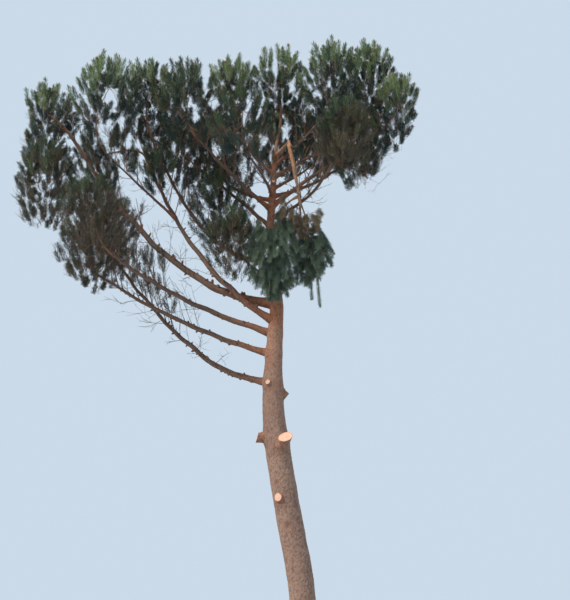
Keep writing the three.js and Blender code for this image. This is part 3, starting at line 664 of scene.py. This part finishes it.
def grow_side_branches(limb, number, taken):
    """Branches that rise from a bough's outer part, and the shoots along them, by the same kind of rule"""
    random = seeded(90001 + 5003 * number)
    length = path_length(limb.path)
    begin = LONG_BOUGH_BEGIN if length > LONG_BOUGH else SHORT_BOUGH_BEGIN
    count = int(length * (1 - begin) / SIDE_BRANCH_SPACING)
    branches, shoots = [], []
    for i in range(count):
        share = begin + (1 - begin) * (i + random()) / count
        root = point_on(limb.path, share)
        along = heading_near(limb.path, share, 0.04)
        side = unit(np.cross(along, UP)) * (1 if i % 2 else -1)
        ahead, aside, rising = random(), random(), random()
        heading = unit(along * (0.3 + 0.5 * ahead) + side * (0.3 + 0.7 * aside) + UP * (0.5 + 0.5 * rising))
        reach = 420 + 420 * random()
        tip = root + heading * reach + UP * reach * 0.3
        curve = bezier(root, root + heading * reach * 0.55, tip, np.linspace(0, 1, 8))
        grown = []
        for k in range(SIDE_BRANCH_SHOOTS):
            at = 0.35 + 0.65 * (k + random()) / SIDE_BRANCH_SHOOTS
            shoot = side_shoot(point_on(curve, min(at, 1.0)), heading, random)
            axis = shoot.axis()
            ends = np.vstack([axis, axis[2:] + shoot.aim * 30])
            if not is_in_box(ends) or is_crowded(axis, taken, SHOOT_SPACING * shoot.width):
                continue
            if (distance_to_limbs(ends) < SIDE_SHOOT_GAP).any() or is_in_view_gap(axis):
                continue
            taken = np.vstack([taken, axis])
            grown.append(shoot)
        if grown:
            branches.append((curve, min(11.0, float(limb.radius_at(share)) * 0.5)))
        shoots += grown
    return branches, shoots, taken


def dangling_shoots():
    shoots = []
    for top, low in np.array(DANGLING, float):
        step = (low - top) / ROPE_LENGTHS
        aim = unit(step)
        for k in range(ROPE_LENGTHS):
            neck = top + step * k
            rear = neck - aim * 250 + (-60, 40, 0) if k == 0 else neck - step
            shoots.append(Shoot(
                curve=np.linspace(rear, neck + step, 4), thick=7.0, neck=neck, aim=aim,
                length=float(np.linalg.norm(step)) * 1.15, width=SHOOT_WIDTH * 0.72, high=0, depth=1, out=-UP,
                look=HANGING, luck=0.6 + 0.01 * k, hangs=True, bare=False,
            ))
    return shoots


# Meshes
def mesh_object(name, points, triangles, material, smooth, **attributes):
    """A mesh object in metres, from points in millimetres"""
    mesh = bpy.data.meshes.new(name)
    mesh.vertices.add(len(points))
    mesh.vertices.foreach_set("co", (points * MM).astype(np.float32).ravel())
    mesh.loops.add(3 * len(triangles))
    mesh.loops.foreach_set("vertex_index", triangles.astype(np.int32).ravel())
    mesh.polygons.add(len(triangles))
    mesh.polygons.foreach_set("loop_start", np.arange(0, 3 * len(triangles), 3, dtype=np.int32))
    mesh.polygons.foreach_set("use_smooth", np.full(len(triangles), smooth))
    for key, values in attributes.items():
        layer = mesh.attributes.new(key, "FLOAT", "POINT")
        layer.data.foreach_set("value", np.asarray(values, np.float32))
    mesh.update(calc_edges=True)
    mesh.materials.append(material)
    piece = bpy.data.objects.new(name, mesh)
    bpy.context.scene.collection.objects.link(piece)
    return piece


def grid_triangles(rows, sides):
    """The faces of a tube of rings"""
    i, k = np.meshgrid(np.arange(rows - 1), np.arange(sides), indexing="ij")
    a = i * sides + k
    b = i * sides + (k + 1) % sides
    halves = (np.stack([a, b, b + sides], -1), np.stack([a, b + sides, a + sides], -1))
    return np.concatenate([half.reshape(-1, 3) for half in halves])


def tubes(paths, radii, sides):
    """Closed tubes along many paths of the same number of points, as one mesh"""
    n, rows, _ = paths.shape
    heading = np.empty_like(paths)
    heading[:, 1:-1] = paths[:, 2:] - paths[:, :-2]
    heading[:, 0] = paths[:, 1] - paths[:, 0]
    heading[:, -1] = paths[:, -1] - paths[:, -2]
    overall = unit(paths[:, -1:] - paths[:, :1])
    across, other = square_to(unit(heading), overall, 0.8)
    angle = (np.arange(sides) * 2 * math.pi / sides)[:, None]
    ring = across[:, :, None] * np.cos(angle) + other[:, :, None] * np.sin(angle)
    points = paths[:, :, None] + ring * radii[:, :, None, None]
    fan = np.array([(0, k + 1, k) for k in range(1, sides - 1)])
    faces = np.concatenate([grid_triangles(rows, sides), fan, (rows - 1) * sides + fan[:, ::-1]])
    all_faces = faces[None] + (np.arange(n) * rows * sides)[:, None, None]
    return points.reshape(-1, 3), all_faces.reshape(-1, 3)


def joined(parts):
    """Several (points, triangles, values of points) as one"""
    first = np.cumsum([0] + [len(part[0]) for part in parts[:-1]])
    columns = list(zip(*parts))
    columns[1] = [triangles + shift for triangles, shift in zip(columns[1], first)]
    return [np.concatenate(column) for column in columns]


def bark_object(name, skins, material):
    """Skins of bark, each (points, triangles, relief, warm), as one mesh"""
    points, faces, relief, warm = joined(skins)
    return mesh_object(name, points, faces, material, True, relief=relief, warm=warm)


def wood_object(name, skins, material):
    """Faces of fresh wood, each (points, triangles, ring), as one mesh"""
    points, faces, ring = joined(skins)
    return mesh_object(name, points, faces, material, False, ring=ring)


def gathered(shoots, *names):
    """What the shoots have, as one array for each name"""
    return [np.array([getattr(shoot, name) for shoot in shoots]) for name in names]


def needle_kites(shoots, draws):
    """The needles of some shoots, each a narrow folded kite of two faces"""
    neck, aim, length, width = gathered(shoots, "neck", "aim", "length", "width")
    across, other = square_to(aim)
    n, count = len(shoots), NEEDLES_A_SHOOT
    along = (np.arange(count) + draws.random((n, count))) / count
    turn = np.arange(count) * GOLDEN_ANGLE + draws.random((n, count)) * 0.8
    lean = np.radians(56 - 14 * along**2 + draws.normal(0, 8, (n, count)))
    size = NEEDLE_LENGTH * (width / SHOOT_WIDTH)[:, None] * (0.8 + 0.35 * draws.random((n, count)))
    radial = across[:, None] * np.cos(turn)[..., None] + other[:, None] * np.sin(turn)[..., None]
    direction = aim[:, None] * np.cos(lean)[..., None] + radial * np.sin(lean)[..., None]
    up_shoot = (length[:, None] - NEEDLE_LENGTH * 0.6) * along
    root = neck[:, None] + aim[:, None] * up_shoot[..., None] + radial * 3
    side = unit(np.cross(direction, radial)) * NEEDLE_WIDTH / 2
    fold = unit(np.cross(side, direction)) * NEEDLE_WIDTH * 0.3
    middle = root + direction * (size * 0.4)[..., None] + fold
    points = np.stack([root, middle + side, root + direction * size[..., None], middle - side], axis=2)
    base = np.arange(n * count)[:, None, None] * 4
    faces = (base + np.array([[0, 1, 2], [0, 2, 3]])).reshape(-1, 3)
    return points.reshape(-1, 3), faces


def candles(shoots):
    """The brown buds that stand up from the tips of the upright shoots"""
    neck, aim, length, width = gathered(shoots, "neck", "aim", "length", "width")
    tip = neck + aim * length[:, None]
    size = width[:, None] / SHOOT_WIDTH
    paths = np.stack([tip - aim * 50 * size, tip - aim * 4 * size, tip + aim * 20 * size], axis=1)
    return tubes(paths, size * np.array([7.0, 9.5, 3.0]), 4)


def bare_sprays(shoots, draws):
    """The fine twigs of shoots without needles"""
    neck, aim, length = gathered(shoots, "neck", "aim", "length")
    neck, aim, length = neck[:, None], aim[:, None], length[:, None, None]
    n, m = len(shoots), TWIGS_A_SPRAY
    along = (np.arange(m) / m + draws.random((n, m)) / m)[..., None] * 0.8
    sideways = draws.normal(0, 1, (n, m, 3))
    sideways = unit(sideways - aim * (sideways * aim).sum(-1, keepdims=True))
    heading = unit(aim + sideways * draws.uniform(0.35, 1.1, (n, m, 1)))
    long = length * draws.uniform(0.45, 0.95, (n, m, 1)) * (1 - 0.4 * along)
    root = neck + aim * length * (along - 0.2)
    middle = root + heading * long * 0.5 + draws.normal(0, 10, (n, m, 3))
    tip = root + heading * long + UP * long * draws.uniform(-0.1, 0.25, (n, m, 1))
    tip = np.clip(tip, REACH_LOW + SPRAY_ROOM, REACH_HIGH - SPRAY_ROOM)
    paths = np.stack([root, middle, tip], axis=2).reshape(-1, 3, 3)
    radii = np.tile([4.2, 3.2, 1.6], (n * m, 1)) * draws.uniform(0.8, 1.25, (n * m, 1))
    return tubes(paths, radii, 3)


# Materials
def srgb(*levels):
    """A colour from 0 to 255 as the shader takes it"""
    shares = [level / 255 for level in levels]
    return tuple(c / 12.92 if c <= 0.04045 else ((c + 0.055) / 1.055) ** 2.4 for c in shares) + (1.0,)


def shader(name, roughness):
    material = bpy.data.materials.new(name)
    material.use_nodes = True
    surface = material.node_tree.nodes["Principled BSDF"]
    surface.inputs["Roughness"].default_value = roughness
    surface.inputs["Specular IOR Level"].default_value = 0.3
    return material, material.node_tree, surface


def add_node(tree, kind, **values):
    made = tree.nodes.new(kind)
    for key, value in values.items():
        if key in made.inputs:
            made.inputs[key].default_value = value
        else:
            setattr(made, key, value)
    return made


def noise_of(tree, scale, detail=3.0):
    made = add_node(tree, "ShaderNodeTexNoise", Scale=scale, Detail=detail)
    place = add_node(tree, "ShaderNodeTexCoord")
    tree.links.new(place.outputs["Object"], made.inputs["Vector"])
    return made.outputs["Fac"]


def mixed(tree, share, one, other):
    """A colour between two, each a colour or a socket"""
    made = add_node(tree, "ShaderNodeMix", data_type="RGBA")
    for socket, value in ((made.inputs[0], share), (made.inputs[6], one), (made.inputs[7], other)):
        if isinstance(value, bpy.types.NodeSocket):
            tree.links.new(value, socket)
        else:
            socket.default_value = value
    return made.outputs[2]


def spread(tree, value, low, high, to_low=0.0, to_high=1.0):
    made = add_node(tree, "ShaderNodeMapRange")
    tree.links.new(value, made.inputs["Value"])
    for key, number in (("From Min", low), ("From Max", high), ("To Min", to_low), ("To Max", to_high)):
        made.inputs[key].default_value = number
    return made.outputs["Result"]


def attribute(tree, name):
    return add_node(tree, "ShaderNodeAttribute", attribute_name=name).outputs["Fac"]


def bumped(tree, surface, height, distance, strength=0.6):
    made = add_node(tree, "ShaderNodeBump", Strength=strength, Distance=distance)
    tree.links.new(height, made.inputs["Height"])
    tree.links.new(made.outputs["Normal"], surface.inputs["Normal"])


def bark_material(name, low, high, crack, patch):
    """Bark that goes from low to high with the attribute warm, with cracks where relief is low"""
    material, tree, surface = shader(name, 0.9)
    plate = mixed(tree, attribute(tree, "warm"), low, high)
    plate = mixed(tree, spread(tree, noise_of(tree, 2.2), 0.42, 0.62, 0.0, 0.6), plate, patch)
    plate = mixed(tree, spread(tree, noise_of(tree, 26.0, 5.0), 0.3, 0.75, 0.0, 0.35), plate, crack)
    colour = mixed(tree, spread(tree, attribute(tree, "relief"), 0.0, 0.8, 0.45, 1.0), crack, plate)
    tree.links.new(colour, surface.inputs["Base Color"])
    bumped(tree, surface, noise_of(tree, 60.0, 6.0), 0.004)
    return material


def wood_material(name, pale, dark):
    """Fresh wood with growth rings by the attribute ring"""
    material, tree, surface = shader(name, 0.75)
    bands = add_node(tree, "ShaderNodeMath", operation="SINE")
    scaled = add_node(tree, "ShaderNodeMath", operation="MULTIPLY")
    tree.links.new(attribute(tree, "ring"), scaled.inputs[0])
    scaled.inputs[1].default_value = 62.0
    tree.links.new(scaled.outputs[0], bands.inputs[0])
    ringed = mixed(tree, spread(tree, bands.outputs[0], -1, 1, 0.0, 0.5), pale, dark)
    ringed = mixed(tree, spread(tree, attribute(tree, "ring"), 0.84, 0.98), ringed, dark)
    blotched = mixed(tree, spread(tree, noise_of(tree, 14.0), 0.45, 0.7, 0.0, 0.5), ringed, dark)
    tree.links.new(blotched, surface.inputs["Base Color"])
    bumped(tree, surface, noise_of(tree, 90.0), 0.002)
    return material


def leaf_material(name, colour, roughness=0.6):
    """One plain colour, with a gloss that varies from needle to needle"""
    material, tree, surface = shader(name, roughness)
    surface.inputs["Base Color"].default_value = colour
    gloss = spread(tree, noise_of(tree, 9.0), 0.3, 0.7, roughness - 0.12, roughness + 0.15)
    tree.links.new(gloss, surface.inputs["Roughness"])
    bumped(tree, surface, noise_of(tree, 160.0), 0.001, 0.3)
    return material


def twig_material(name, colour, other):
    material, tree, surface = shader(name, 0.85)
    shade = mixed(tree, spread(tree, noise_of(tree, 7.0), 0.35, 0.65), colour, other)
    tree.links.new(shade, surface.inputs["Base Color"])
    bumped(tree, surface, noise_of(tree, 120.0), 0.002)
    return material


# Bark relief
def voronoi_gap(points, size):
    """How far each point is from the cracks between plates of a size, from 0"""
    return np.array([np.subtract(*noise.voronoi(Vector(p))[0][1::-1]) for p in points / size])


def ripple(points, size):
    return np.array([noise.noise(Vector(p)) for p in points / size])


def warp(points, size, shifts):
    return np.stack([ripple(points + shift, size) for shift in shifts], axis=1)


def smooth(value, low, high):
    t = np.clip((value - low) / (high - low), 0, 1)
    return t * t * (3 - 2 * t)


def bark_relief(points, plate):
    """0 in a crack and 1 on a plate, at each point"""
    moved = points + warp(points, 70.0, (0, 500, 900)) * 30
    return smooth(voronoi_gap(moved, np.array(plate, float)), 0.0, 0.22)


def hump(points, centre, size):
    return np.exp(-(((points - centre) ** 2).sum(1)) / size**2)


def stub_heading(azimuth, climb):
    angle, rise = math.radians(azimuth), math.radians(climb)
    return np.array([math.cos(angle) * math.cos(rise), math.sin(angle) * math.cos(rise), math.sin(rise)])


def trunk_spot(height, azimuth, climb):
    """Where a bough or stub leaves the trunk's surface"""
    return trunk_centre(height) + stub_heading(azimuth, climb) * trunk_radius(height, math.radians(azimuth))


def ring_faces(counts):
    """The faces between rings of points, also where their number halves, and across both ends"""
    faces = [np.array([(0, k + 1, k) for k in range(1, counts[0] - 1)])]
    first = 0
    for n, m in zip(counts, counts[1:]):
        k = np.arange(m)
        up, up_next = first + n + k, first + n + (k + 1) % m
        if n == m:
            a, b = first + k, first + (k + 1) % n
            corners = ((a, b, up_next), (a, up_next, up))
        else:
            a, b, c = first + 2 * k, first + 2 * k + 1, first + (2 * k + 2) % n
            corners = ((a, b, up), (b, up_next, up), (b, c, up_next))
        faces += [np.stack(corner, 1) for corner in corners]
        first += n
    faces.append(np.array([(first, first + k, first + k + 1) for k in range(1, counts[-1] - 1)]))
    return np.concatenate(faces)


def trunk_skin():
    """The trunk's bark, with swellings where boughs and stubs leave it, scars with painted shade below stubs,
    and knots
    """
    rows, counts = [], []
    for low, high, columns, step in SECTIONS:
        heights = np.linspace(low, high, int((high - low) / step) + 1)[(1 if low else 0):]
        rows += list(heights)
        counts += [columns] * len(heights)
    heights = np.repeat(rows, counts)
    angle = np.concatenate([np.arange(n) * 2 * math.pi / n for n in counts])
    out = np.stack([np.cos(angle), np.sin(angle), np.zeros(len(angle))], axis=1)
    radius = trunk_radius(heights, angle)
    base = trunk_centre(heights) + out * radius[:, None]
    low_bark = 1 - smooth(heights, 6500, 10500)
    relief = bark_relief(base, (48, 48, 104)) * low_bark + bark_relief(base, (40, 40, 56)) * (1 - low_bark)
    depth = FLAKE + (FISSURE - FLAKE) * low_bark
    grow = (relief - 0.8) * depth + ripple(base, 260.0) * 9 * low_bark + ripple(base, 60.0) * 2.5
    grow *= np.clip(radius / 120, 0.25, 1)
    for _, height, azimuth, *_, thick in BOUGHS:
        if not isinstance(height, tuple):
            grow += hump(base, trunk_spot(height, azimuth, 12), thick * 2.1) * thick * 0.35
    scars_and_painted_shade = np.zeros(len(base))
    for height, azimuth, _, thick, climb, *_ in STUBS:
        spot = trunk_spot(height, azimuth, climb)
        grow += hump(base, spot, thick * 1.7) * thick * 0.3
        # Below each stub, a scar and painted shade: the bark there is made darker and redder
        scars_and_painted_shade += hump(base, spot - UP * thick * 0.9, thick * 1.25)
    for spot in KNOTS:
        scars_and_painted_shade += hump(base, spot, SCAR_SIZE)
        grow -= hump(base, spot, PIT_SIZE) * PIT_DEPTH
    scars_and_painted_shade = np.clip(scars_and_painted_shade, 0, 1)
    points = base + out * grow[:, None]
    points[:, 2] = heights
    # Knot scars, and the scars with painted shade under stubs, get warmer bark and less relief, so more crack
    # colour: darker, redder bark
    warm = smooth(heights, 7200, 10400) * 0.85 + 0.5 * scars_and_painted_shade
    return points, ring_faces(counts), relief * (1 - 0.75 * scars_and_painted_shade), warm


def limb_skin(limb):
    """The bark of a bough, from inside what it grows out of to its tip"""
    path = limb.fine
    share = np.linspace(1 - (len(path) - 1) / limb.fine_steps, 1, len(path))
    sides = 8 + 3 * (limb.radius > 35) + 3 * (limb.radius > 50)
    run = np.concatenate([[0], np.cumsum(np.linalg.norm(np.diff(path, axis=0), axis=1))])
    parent_radius = limb.parent.radius if limb.parent else float(trunk_radius(path[0][2], 0))
    radius = limb.radius_at(share)
    if not limb.carries_on:
        past_parent = np.maximum(run - parent_radius * 0.9, 0)
        radius = radius * (1 + 0.55 * np.exp(-past_parent / (limb.radius * 2.2)))
    held = np.minimum(1, np.minimum(run, run[-1] - run) / 400)[:, None]
    path = path + warp(path, 420.0, (3000, 6000, 9000)) * (limb.radius * 0.45) * held
    points, faces = tubes(path[None], radius[None], sides)
    out = unit(points - np.repeat(path, sides, axis=0))
    relief = bark_relief(points, (34, 34, 52))
    rough = (relief - 0.7) * 3.2 + ripple(points, 38.0) * 2.4 + ripple(points, 130.0) * 3.5
    points = points + out * (rough * np.clip(np.repeat(radius, sides) / 40, 0.4, 1))[:, None]
    warm = np.repeat(1 - 0.95 * smooth(share, 0.0, 0.42), sides)
    return points, faces, relief, warm


def stub_skin(stub):
    """A sawn stub's bark, and the flat face of its cut"""
    height, azimuth, length, thick, climb, cut, side = stub
    heading = stub_heading(azimuth, climb)
    u, v = square_to(heading)
    skin = float(trunk_radius(height, math.radians(azimuth)))
    slant, turned = math.tan(math.radians(cut)), math.radians(side)
    # how far out, how wide, and how slanted each ring is
    stations = [
        (skin * 0.5, 1.32, 0), (skin * 0.9, 1.3, 0), (skin, 1.24, 0), (skin + length * 0.2, 1.12, 0.1),
        (skin + length * 0.45, 1.02, 0.4), (skin + length * 0.75, 0.98, 0.75), (skin + length, 0.96, 1),
    ]
    sides = 28
    turn = np.arange(sides) * 2 * math.pi / sides
    rings = []
    for at, wide, slanted in stations:
        r = thick * wide
        middle = trunk_centre(height) + heading * (at - slanted * slant * r * np.cos(turn - turned))[:, None]
        rings.append(middle + u * (r * np.cos(turn))[:, None] + v * (r * np.sin(turn))[:, None])
    points = np.concatenate(rings)
    centres = np.repeat([ring.mean(0) for ring in rings], sides, axis=0)
    relief = bark_relief(points, (40, 40, 40))
    rough = (relief - 0.6) * 4 + ripple(points, 45.0) * 3
    points = points + unit(points - centres) * rough[:, None]
    bark_part = (points, grid_triangles(len(stations), sides), relief, np.full(len(points), 0.5))
    return bark_part, cut_face(points[-sides:], heading)


def cut_face(rim, heading):
    """The sawn face within a rim, slightly rough, with its attribute ring"""
    sides, middle = len(rim), rim.mean(0)
    shares = np.linspace(1, 0, 9)[:-1]
    points = np.concatenate([middle + (rim - middle) * s for s in shares] + [middle[None]])
    points = points + heading * (1.5 + ripple(points, 18.0)[:, None] * 1.5)
    inner = (len(shares) - 1) * sides
    hub = [(inner + k, inner + (k + 1) % sides, len(points) - 1) for k in range(sides)]
    faces = np.concatenate([grid_triangles(len(shares), sides), hub])
    return points, faces, np.concatenate([np.repeat(shares, sides), [0.0]])


# Torn wood, knobs and dead twigs
def splinters(draws):
    """Torn wood at the hinge, where the cut limb folds down from its stub"""
    stub, limb = limbs["hinge_stub"], limbs["hanging_limb"]
    torn_ends = ((stub.path[-1], stub.end_heading), (limb.path[0], -unit(limb.path[1] - limb.path[0])))
    paths, count = [], 11
    for centre, heading in torn_ends:
        u, v = square_to(heading)
        for k in range(count):
            out = around(u, v, k * GOLDEN_ANGLE)
            root = centre + out * (17 * math.sqrt((k + 0.5) / count)) - heading * 25
            long = draws.uniform(45, 120)
            bend = out * draws.uniform(4, 26)
            paths.append([root, root + heading * long * 0.5 + bend * 0.3, root + heading * long + bend])
    points, faces = tubes(np.array(paths), np.tile([6.5, 4.5, 0.8], (len(paths), 1)), 4)
    return points, faces, np.full(len(points), 0.3)


def knobs(draws):
    """The short stubs of lost twigs that make the boughs knobbly"""
    paths, radii = [], []
    for limb in boughs:
        count = int(KNOBS_PER_METRE * path_length(limb.path) / 1000)
        for k in range(count):
            share = 0.12 + 0.86 * (k + draws.random()) / count
            place = point_on(limb.path, share)
            along = heading_near(limb.path, share)
            out = unit(around(*square_to(along), draws.uniform(0, 2 * math.pi)) + along * 0.3)
            thick = float(limb.radius_at(share))
            size = draws.uniform(0.28, 0.5) * thick
            tall = thick + draws.uniform(0.5, 1.3) * min(thick, 42)
            paths.append([place + out * thick * 0.3, place + out * (thick + tall) / 2, place + out * tall])
            radii.append([size * 1.7, size * 1.1, size * 0.6])
    return tubes(np.array(paths), np.array(radii), 5)


def dead_twigs(draws):
    """Bare fine twigs along the outer part of each bough, each with side twigs"""
    paths, thick = [], []

    def branch(root, heading, length, radius, level):
        droop = draws.normal(0, 0.12, 3) + UP * draws.uniform(-0.1, 0.25)
        t = np.linspace(0, 1, 5)[:, None]
        path = root + heading * length * t + droop * length * t * t
        paths.append(path)
        thick.append(radius)
        for _ in range((3, 2, 0)[level]):
            fork = point_on(path, draws.uniform(0.35, 0.95))
            side = unit(heading + draws.normal(0, 0.6, 3) + UP * 0.15)
            branch(fork, side, length * draws.uniform(0.4, 0.65), radius * 0.62, level + 1)

    for limb in boughs:
        if limb.name in CUT_LIMB:
            continue
        begin = 0.38 if "left" in limb.name else 0.3
        count = int(DEAD_TWIGS_PER_METRE * path_length(limb.path) / 1000 * (1 - begin))
        for k in range(count):
            share = begin + (1 - begin) * (k + draws.random()) / count
            along = heading_near(limb.path, share)
            out = around(*square_to(along), draws.uniform(0, 2 * math.pi))
            heading = unit(along * draws.uniform(0.3, 1.0) + out + UP * 0.15)
            branch(point_on(limb.path, share), heading, draws.uniform(260, 620), draws.uniform(4.5, 8), 0)
    paths = np.array(paths)
    inside = (paths > BOX_LOW + DEAD_TWIG_ROOM) & (paths < BOX_HIGH - DEAD_TWIG_ROOM)
    inside = inside.all(axis=(1, 2))
    return tubes(paths[inside], np.array(thick)[inside, None] * np.array([1, 0.85, 0.7, 0.55, 0.35]), 3)


# The tree
draws = np.random.default_rng(20)

bark = bark_material(
    "trunk_bark", srgb(151, 122, 108), srgb(174, 114, 82), srgb(84, 62, 54), srgb(168, 138, 120)
)
bough_bark = bark_material(
    "bough_bark", srgb(115, 97, 86), srgb(164, 106, 78), srgb(78, 57, 50), srgb(134, 105, 87)
)
peeled_bark = bark_material(
    "peeled_bark", srgb(178, 142, 114), srgb(196, 136, 96), srgb(110, 78, 62), srgb(206, 168, 134)
)
wood = wood_material("cut_wood", srgb(236, 196, 172), srgb(208, 152, 122))

trunk = bark_object("trunk_skin", [trunk_skin()], bark)
stub_barks, cut_faces = zip(*[stub_skin(stub) for stub in STUBS])
stub_bark = bark_object("stub_skin", stub_barks, bark)
cuts = wood_object("saw_cuts", cut_faces, wood)
torn = wood_object("torn_wood", [splinters(draws)], wood)
grown = [limb for limb in boughs if limb.name not in CUT_LIMB]
bough_skin = bark_object("bough_skin", [limb_skin(limb) for limb in grown], bough_bark)
cut_limb_skin = bark_object("cut_limb_skin", [limb_skin(limbs[name]) for name in CUT_LIMB], peeled_bark)

stems, twigs, shoots = [], [], []
for index in range(len(MASSES)):
    mass = Mass(index)
    mass_twigs = grow_twigs(mass)
    stems.append(mass.stem(SHOOT_STEM_STEPS))
    twigs += mass_twigs
    shoots += grow_shoots(mass, mass_twigs)
shoots += dangling_shoots()
taken = np.vstack([shoot.axis() for shoot in shoots])
side_branches = []
for number, limb in enumerate(boughs):
    if limb.name not in CUT_LIMB:
        branches, side_shoots, taken = grow_side_branches(limb, number, taken)
        side_branches += branches
        shoots += side_shoots


def tapered(curves, thick, tip, sides, least=0.0):
    """Tubes along curves, each from its thickness down to a share of it at its tip"""
    curves = np.array(curves)
    radii = np.array(thick)[:, None] * np.linspace(1, tip, curves.shape[1])
    return tubes(curves, np.maximum(radii, least), sides)


stem_paths, stem_radii = zip(*stems)
side_paths, side_thick = zip(*side_branches)
branch_points, branch_faces = joined([
    tubes(np.array(stem_paths), np.array(stem_radii), 9),
    tapered([twig.curve for twig in twigs], [twig.thick * 0.8 for twig in twigs], 0.3, 5),
    tapered(side_paths, side_thick, 0.45, 5),
    knobs(draws),
])
flat_values = [np.full(len(branch_points), value) for value in (0.8, 0.35)]
branches = bark_object("branch_skin", [(branch_points, branch_faces, *flat_values)], bough_bark)
shoot_tubes = tapered(*gathered(shoots, "curve", "thick"), 0.35, 3, 2.2)
twig_finish = twig_material("twigs", srgb(120, 92, 72), srgb(150, 112, 84))
shoot_twigs = mesh_object("shoot_twigs", *shoot_tubes, twig_finish, True)
dead_finish = twig_material("bare_twigs", srgb(116, 98, 86), srgb(92, 74, 64))
bare_twigs = mesh_object("bare_twigs", *dead_twigs(draws), dead_finish, True)
bare = [shoot for shoot in shoots if shoot.bare]
leafy = [shoot for shoot in shoots if not shoot.bare]
spray_finish = twig_material("bare_sprays", srgb(107, 95, 85), srgb(84, 76, 70))
sprays = mesh_object("bare_sprays", *bare_sprays(bare, draws), spray_finish, False)
bud_finish = twig_material("buds", srgb(150, 116, 78), srgb(120, 104, 72))
budding = [shoot for shoot in leafy if shoot.look in (TOP, MIDDLE)]
buds = mesh_object("buds", *candles(budding), bud_finish, True)

# Kinds of needles: slot and colour
NEEDLE_KINDS = {
    "sunlit_a": ("sunlit_needles", srgb(144, 158, 112)),
    "sunlit_b": ("sunlit_needles", srgb(118, 140, 98)),
    "green_a": ("needles", srgb(90, 106, 78)),
    "green_b": ("needles", srgb(76, 94, 74)),
    "shade_a": ("needles", srgb(60, 78, 68)),
    "shade_b": ("needles", srgb(56, 70, 68)),
    "dull_a": ("dead_needles", srgb(94, 92, 72)),
    "dull_b": ("dead_needles", srgb(78, 78, 68)),
    "withered": ("dead_needles", srgb(146, 130, 104)),
    "hanging_a": ("hanging_needles", srgb(112, 130, 108)),
    "hanging_b": ("hanging_needles", srgb(86, 106, 92)),
}
SUNWARD = unit(np.array([-0.62, -0.45, 0.64]))


def kind_of(shoot):
    """The kind of a shoot's needles, by its look and by how much light its place gets"""
    variant = "a" if shoot.luck * 7 % 1 < 0.5 else "b"
    if shoot.hangs:
        return "withered" if shoot.look == DULL else "hanging_" + variant
    place = 0.5 * shoot.high + 0.3 * unit(shoot.out).dot(SUNWARD) + shoot.depth - 0.9
    light = place + 0.4 * (shoot.luck - 0.5)
    if shoot.look == DULL:
        return ("dull_" if light < 0.55 else "green_") + variant
    if shoot.look == TOP and light > 0.52:
        return "sunlit_" + variant
    return ("green_" if light > 0.12 else "shade_") + variant


pieces = [
    (trunk, "trunk_bark"), (stub_bark, "trunk_bark"), (cuts, "cut_wood"), (torn, "cut_wood"),
    (bough_skin, "bough_bark"), (cut_limb_skin, "bough_bark"), (branches, "bough_bark"),
    (shoot_twigs, "twigs"), (bare_twigs, "twigs"), (sprays, "twigs"), (buds, "twigs"),
]
for kind, (slot, colour) in NEEDLE_KINDS.items():
    name = "needles_" + kind
    kites = needle_kites([shoot for shoot in leafy if kind_of(shoot) == kind], draws)
    pieces.append((mesh_object(name, *kites, leaf_material(name, colour), False), slot))

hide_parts("trunk")
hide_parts(*[limb.name for limb in grown])
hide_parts(*CUT_LIMB)
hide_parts(*[mass[0] for mass in MASSES])
for piece, slot in pieces:
    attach(piece, "root")

# Floor, light and camera
FLOOR_HALF = 400000
SUN_STRENGTH = 3.0
SUN_WIDTH = 14
LENS = 78.2
SENSOR_WIDTH = 36
CAMERA_TILT = 110

floor_material, _, surface = shader("floor", 0.9)
surface.inputs["Base Color"].default_value = srgb(186, 188, 190)
corners = np.array([(-1, -1, 0), (1, -1, 0), (1, 1, 0), (-1, 1, 0)]) * FLOOR_HALF
floor = mesh_object("floor", corners, np.array([(0, 1, 2), (0, 2, 3)]), floor_material, False)

scene = bpy.context.scene
scene.view_settings.view_transform = "Standard"
world = bpy.data.worlds.new("studio")
scene.world = world
world.use_nodes = True
backdrop = world.node_tree.nodes["Background"]
backdrop.inputs["Color"].default_value = (0.66, 0.78, 0.9, 1)
backdrop.inputs["Strength"].default_value = 0.9

sun_data = bpy.data.lights.new("sun", "SUN")
sun_data.energy = SUN_STRENGTH
sun_data.angle = math.radians(SUN_WIDTH)
sun_data.color = (1.0, 0.92, 0.8)
sun = bpy.data.objects.new("sun", sun_data)
sun.rotation_euler = Vector(-SUNWARD).to_track_quat("-Z", "Y").to_euler()
scene.collection.objects.link(sun)

camera_data = bpy.data.cameras.new("camera")
camera_data.lens = LENS
camera_data.sensor_width = SENSOR_WIDTH
camera_data.clip_end = 300
camera = bpy.data.objects.new("camera", camera_data)
camera.location = EYE * MM
camera.rotation_euler = (math.radians(CAMERA_TILT), 0, 0)
scene.collection.objects.link(camera)
scene.camera = camera
